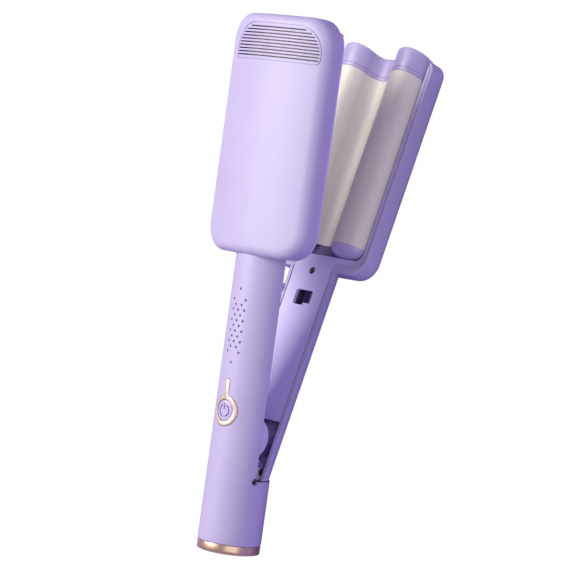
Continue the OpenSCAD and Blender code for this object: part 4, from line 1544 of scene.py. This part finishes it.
@dataclass(frozen=True)
class View:
    """The camera: its direction, lean, distance and framing."""

    azimuth: float = 45.195
    elevation: float = 3.047
    lean: float = 7.861
    distance: float = 1395.9
    aim_x: float = 150.0
    focal_px: float = 2491.7
    centre_px: tuple[float, float] = (264.31, 286.61)
    sensor: float = 36.0
    clip: tuple[float, float] = (0.1, 20.0)

    def build(self) -> None:
        """Makes the camera from the angles in the front arm's frame.

        The direction to the camera is (sin e, -sin a cos e, cos a cos e). The picture's right is
        (0, -cos a, -sin a), turned about that direction by the lean.
        """
        place = PLACE[Arm.FRONT]
        a, e, roll = (math.radians(v) for v in (self.azimuth, self.elevation, self.lean))
        back = place.vector((math.sin(e), -math.sin(a) * math.cos(e), math.cos(a) * math.cos(e)))
        side = place.vector((0.0, -math.cos(a), -math.sin(a)))
        up = np.cross(back, side)
        right = side * math.cos(roll) + up * math.sin(roll)
        head = up * math.cos(roll) - side * math.sin(roll)
        spot = place(np.array([self.aim_x, 0.0, 0.0])) + back * self.distance * MM
        data = bpy.data.cameras.new("camera")
        data.sensor_width = self.sensor
        data.lens = self.focal_px * self.sensor / IMAGE_PX
        data.shift_x = (IMAGE_PX / 2 - self.centre_px[0]) / IMAGE_PX
        data.shift_y = (self.centre_px[1] - IMAGE_PX / 2) / IMAGE_PX
        data.clip_start, data.clip_end = self.clip
        camera = bpy.data.objects.new("camera", data)
        bpy.context.scene.collection.objects.link(camera)
        axes = np.column_stack([right, head, back, spot])
        camera.matrix_world = Matrix([*axes.tolist(), [0.0, 0.0, 0.0, 1.0]])
        bpy.context.scene.camera = camera


@dataclass(frozen=True)
class SoftBox:
    """One square area light, aimed at a point of the table."""

    name: str
    spot: tuple[float, float, float]
    size: float
    watts: float
    colour: Colour = (1.0, 1.0, 1.0)
    aim: tuple[float, float, float] = (0.0, 0.0, 0.04)

    def build(self) -> None:
        """Makes the light, its face turned to the aim."""
        data = bpy.data.lights.new(self.name, "AREA")
        data.shape = "SQUARE"
        data.size = self.size
        data.energy = self.watts
        data.color = self.colour
        light = bpy.data.objects.new(self.name, data)
        bpy.context.scene.collection.objects.link(light)
        light.location = self.spot
        away = Vector(self.spot) - Vector(self.aim)
        light.rotation_euler = away.to_track_quat("Z", "Y").to_euler()


@dataclass(frozen=True)
class Studio:
    """Plain pale floor, even surround and soft boxes."""

    half: float = 6.0
    surround: float = 0.36
    surround_tint: Colour = (0.76, 0.62, 1.15)
    bounce: Colour = (0.29, 0.20, 0.62)
    matte: float = 0.9
    boxes: tuple[SoftBox, ...] = (
        SoftBox("key_box", (0.1, 0.62, 1.37), 1.0, 28.5, (1.0, 0.99, 0.92)),
        SoftBox("fill_box", (-0.15, -1.6, 1.0), 1.6, 11.0),
    )

    def build(self) -> None:
        """Makes the floor, the surround and the lights."""
        h = self.half
        corners = np.array([[-h, -h, 0.0], [h, -h, 0.0], [h, h, 0.0], [-h, h, 0.0]])
        floor = to_object("floor", corners, [[0, 1, 2, 3]])
        floor.data.materials.append(self.floor_material())
        world = bpy.data.worlds.new("surround")
        bpy.context.scene.world = world
        world.use_nodes = True
        glow = {"Color": opaque(self.surround_tint), "Strength": self.surround}
        Tree(world.node_tree).fill(world.node_tree.nodes["Background"], glow)
        for box in self.boxes:
            box.build()
        bpy.context.scene.view_settings.view_transform = "Standard"

    def floor_material(self) -> bpy.types.Material:
        """White to the camera, and to the object a surface that throws the bounce colour.

        Returns:
            The material.
        """
        material, t, shader = new_material("pale_floor")
        t.fill(shader, {"Base Color": opaque(self.bounce), "Roughness": self.matte})
        sight = t.add("LightPath").outputs["Is Camera Ray"]
        glow = t.out("Emission", {"Color": (1.0, 1.0, 1.0, 1.0), "Strength": 1.0})
        mix = t.out("MixShader", {0: sight, 1: shader.outputs[0], 2: glow})
        t.fill(t.tree.nodes["Material Output"], {"Surface": mix})
        return material


def main() -> None:
    """Builds every piece in order, then the studio."""
    logging.basicConfig(level=logging.INFO, format="%(name)s: %(message)s")
    GROUPS["grain"] = make_grain_group()
    GROUPS["streaks"] = make_streak_group()
    dress_packed_nodes()
    FrontCover().build()
    Handle().build()
    TailRing().build()
    RearShell().build()
    for jaw in (Jaw(Arm.FRONT, "front"), Jaw(Arm.REAR, "rear")):
        jaw.build()
    View().build()
    Studio().build()


if __name__ == "__main__":
    main()
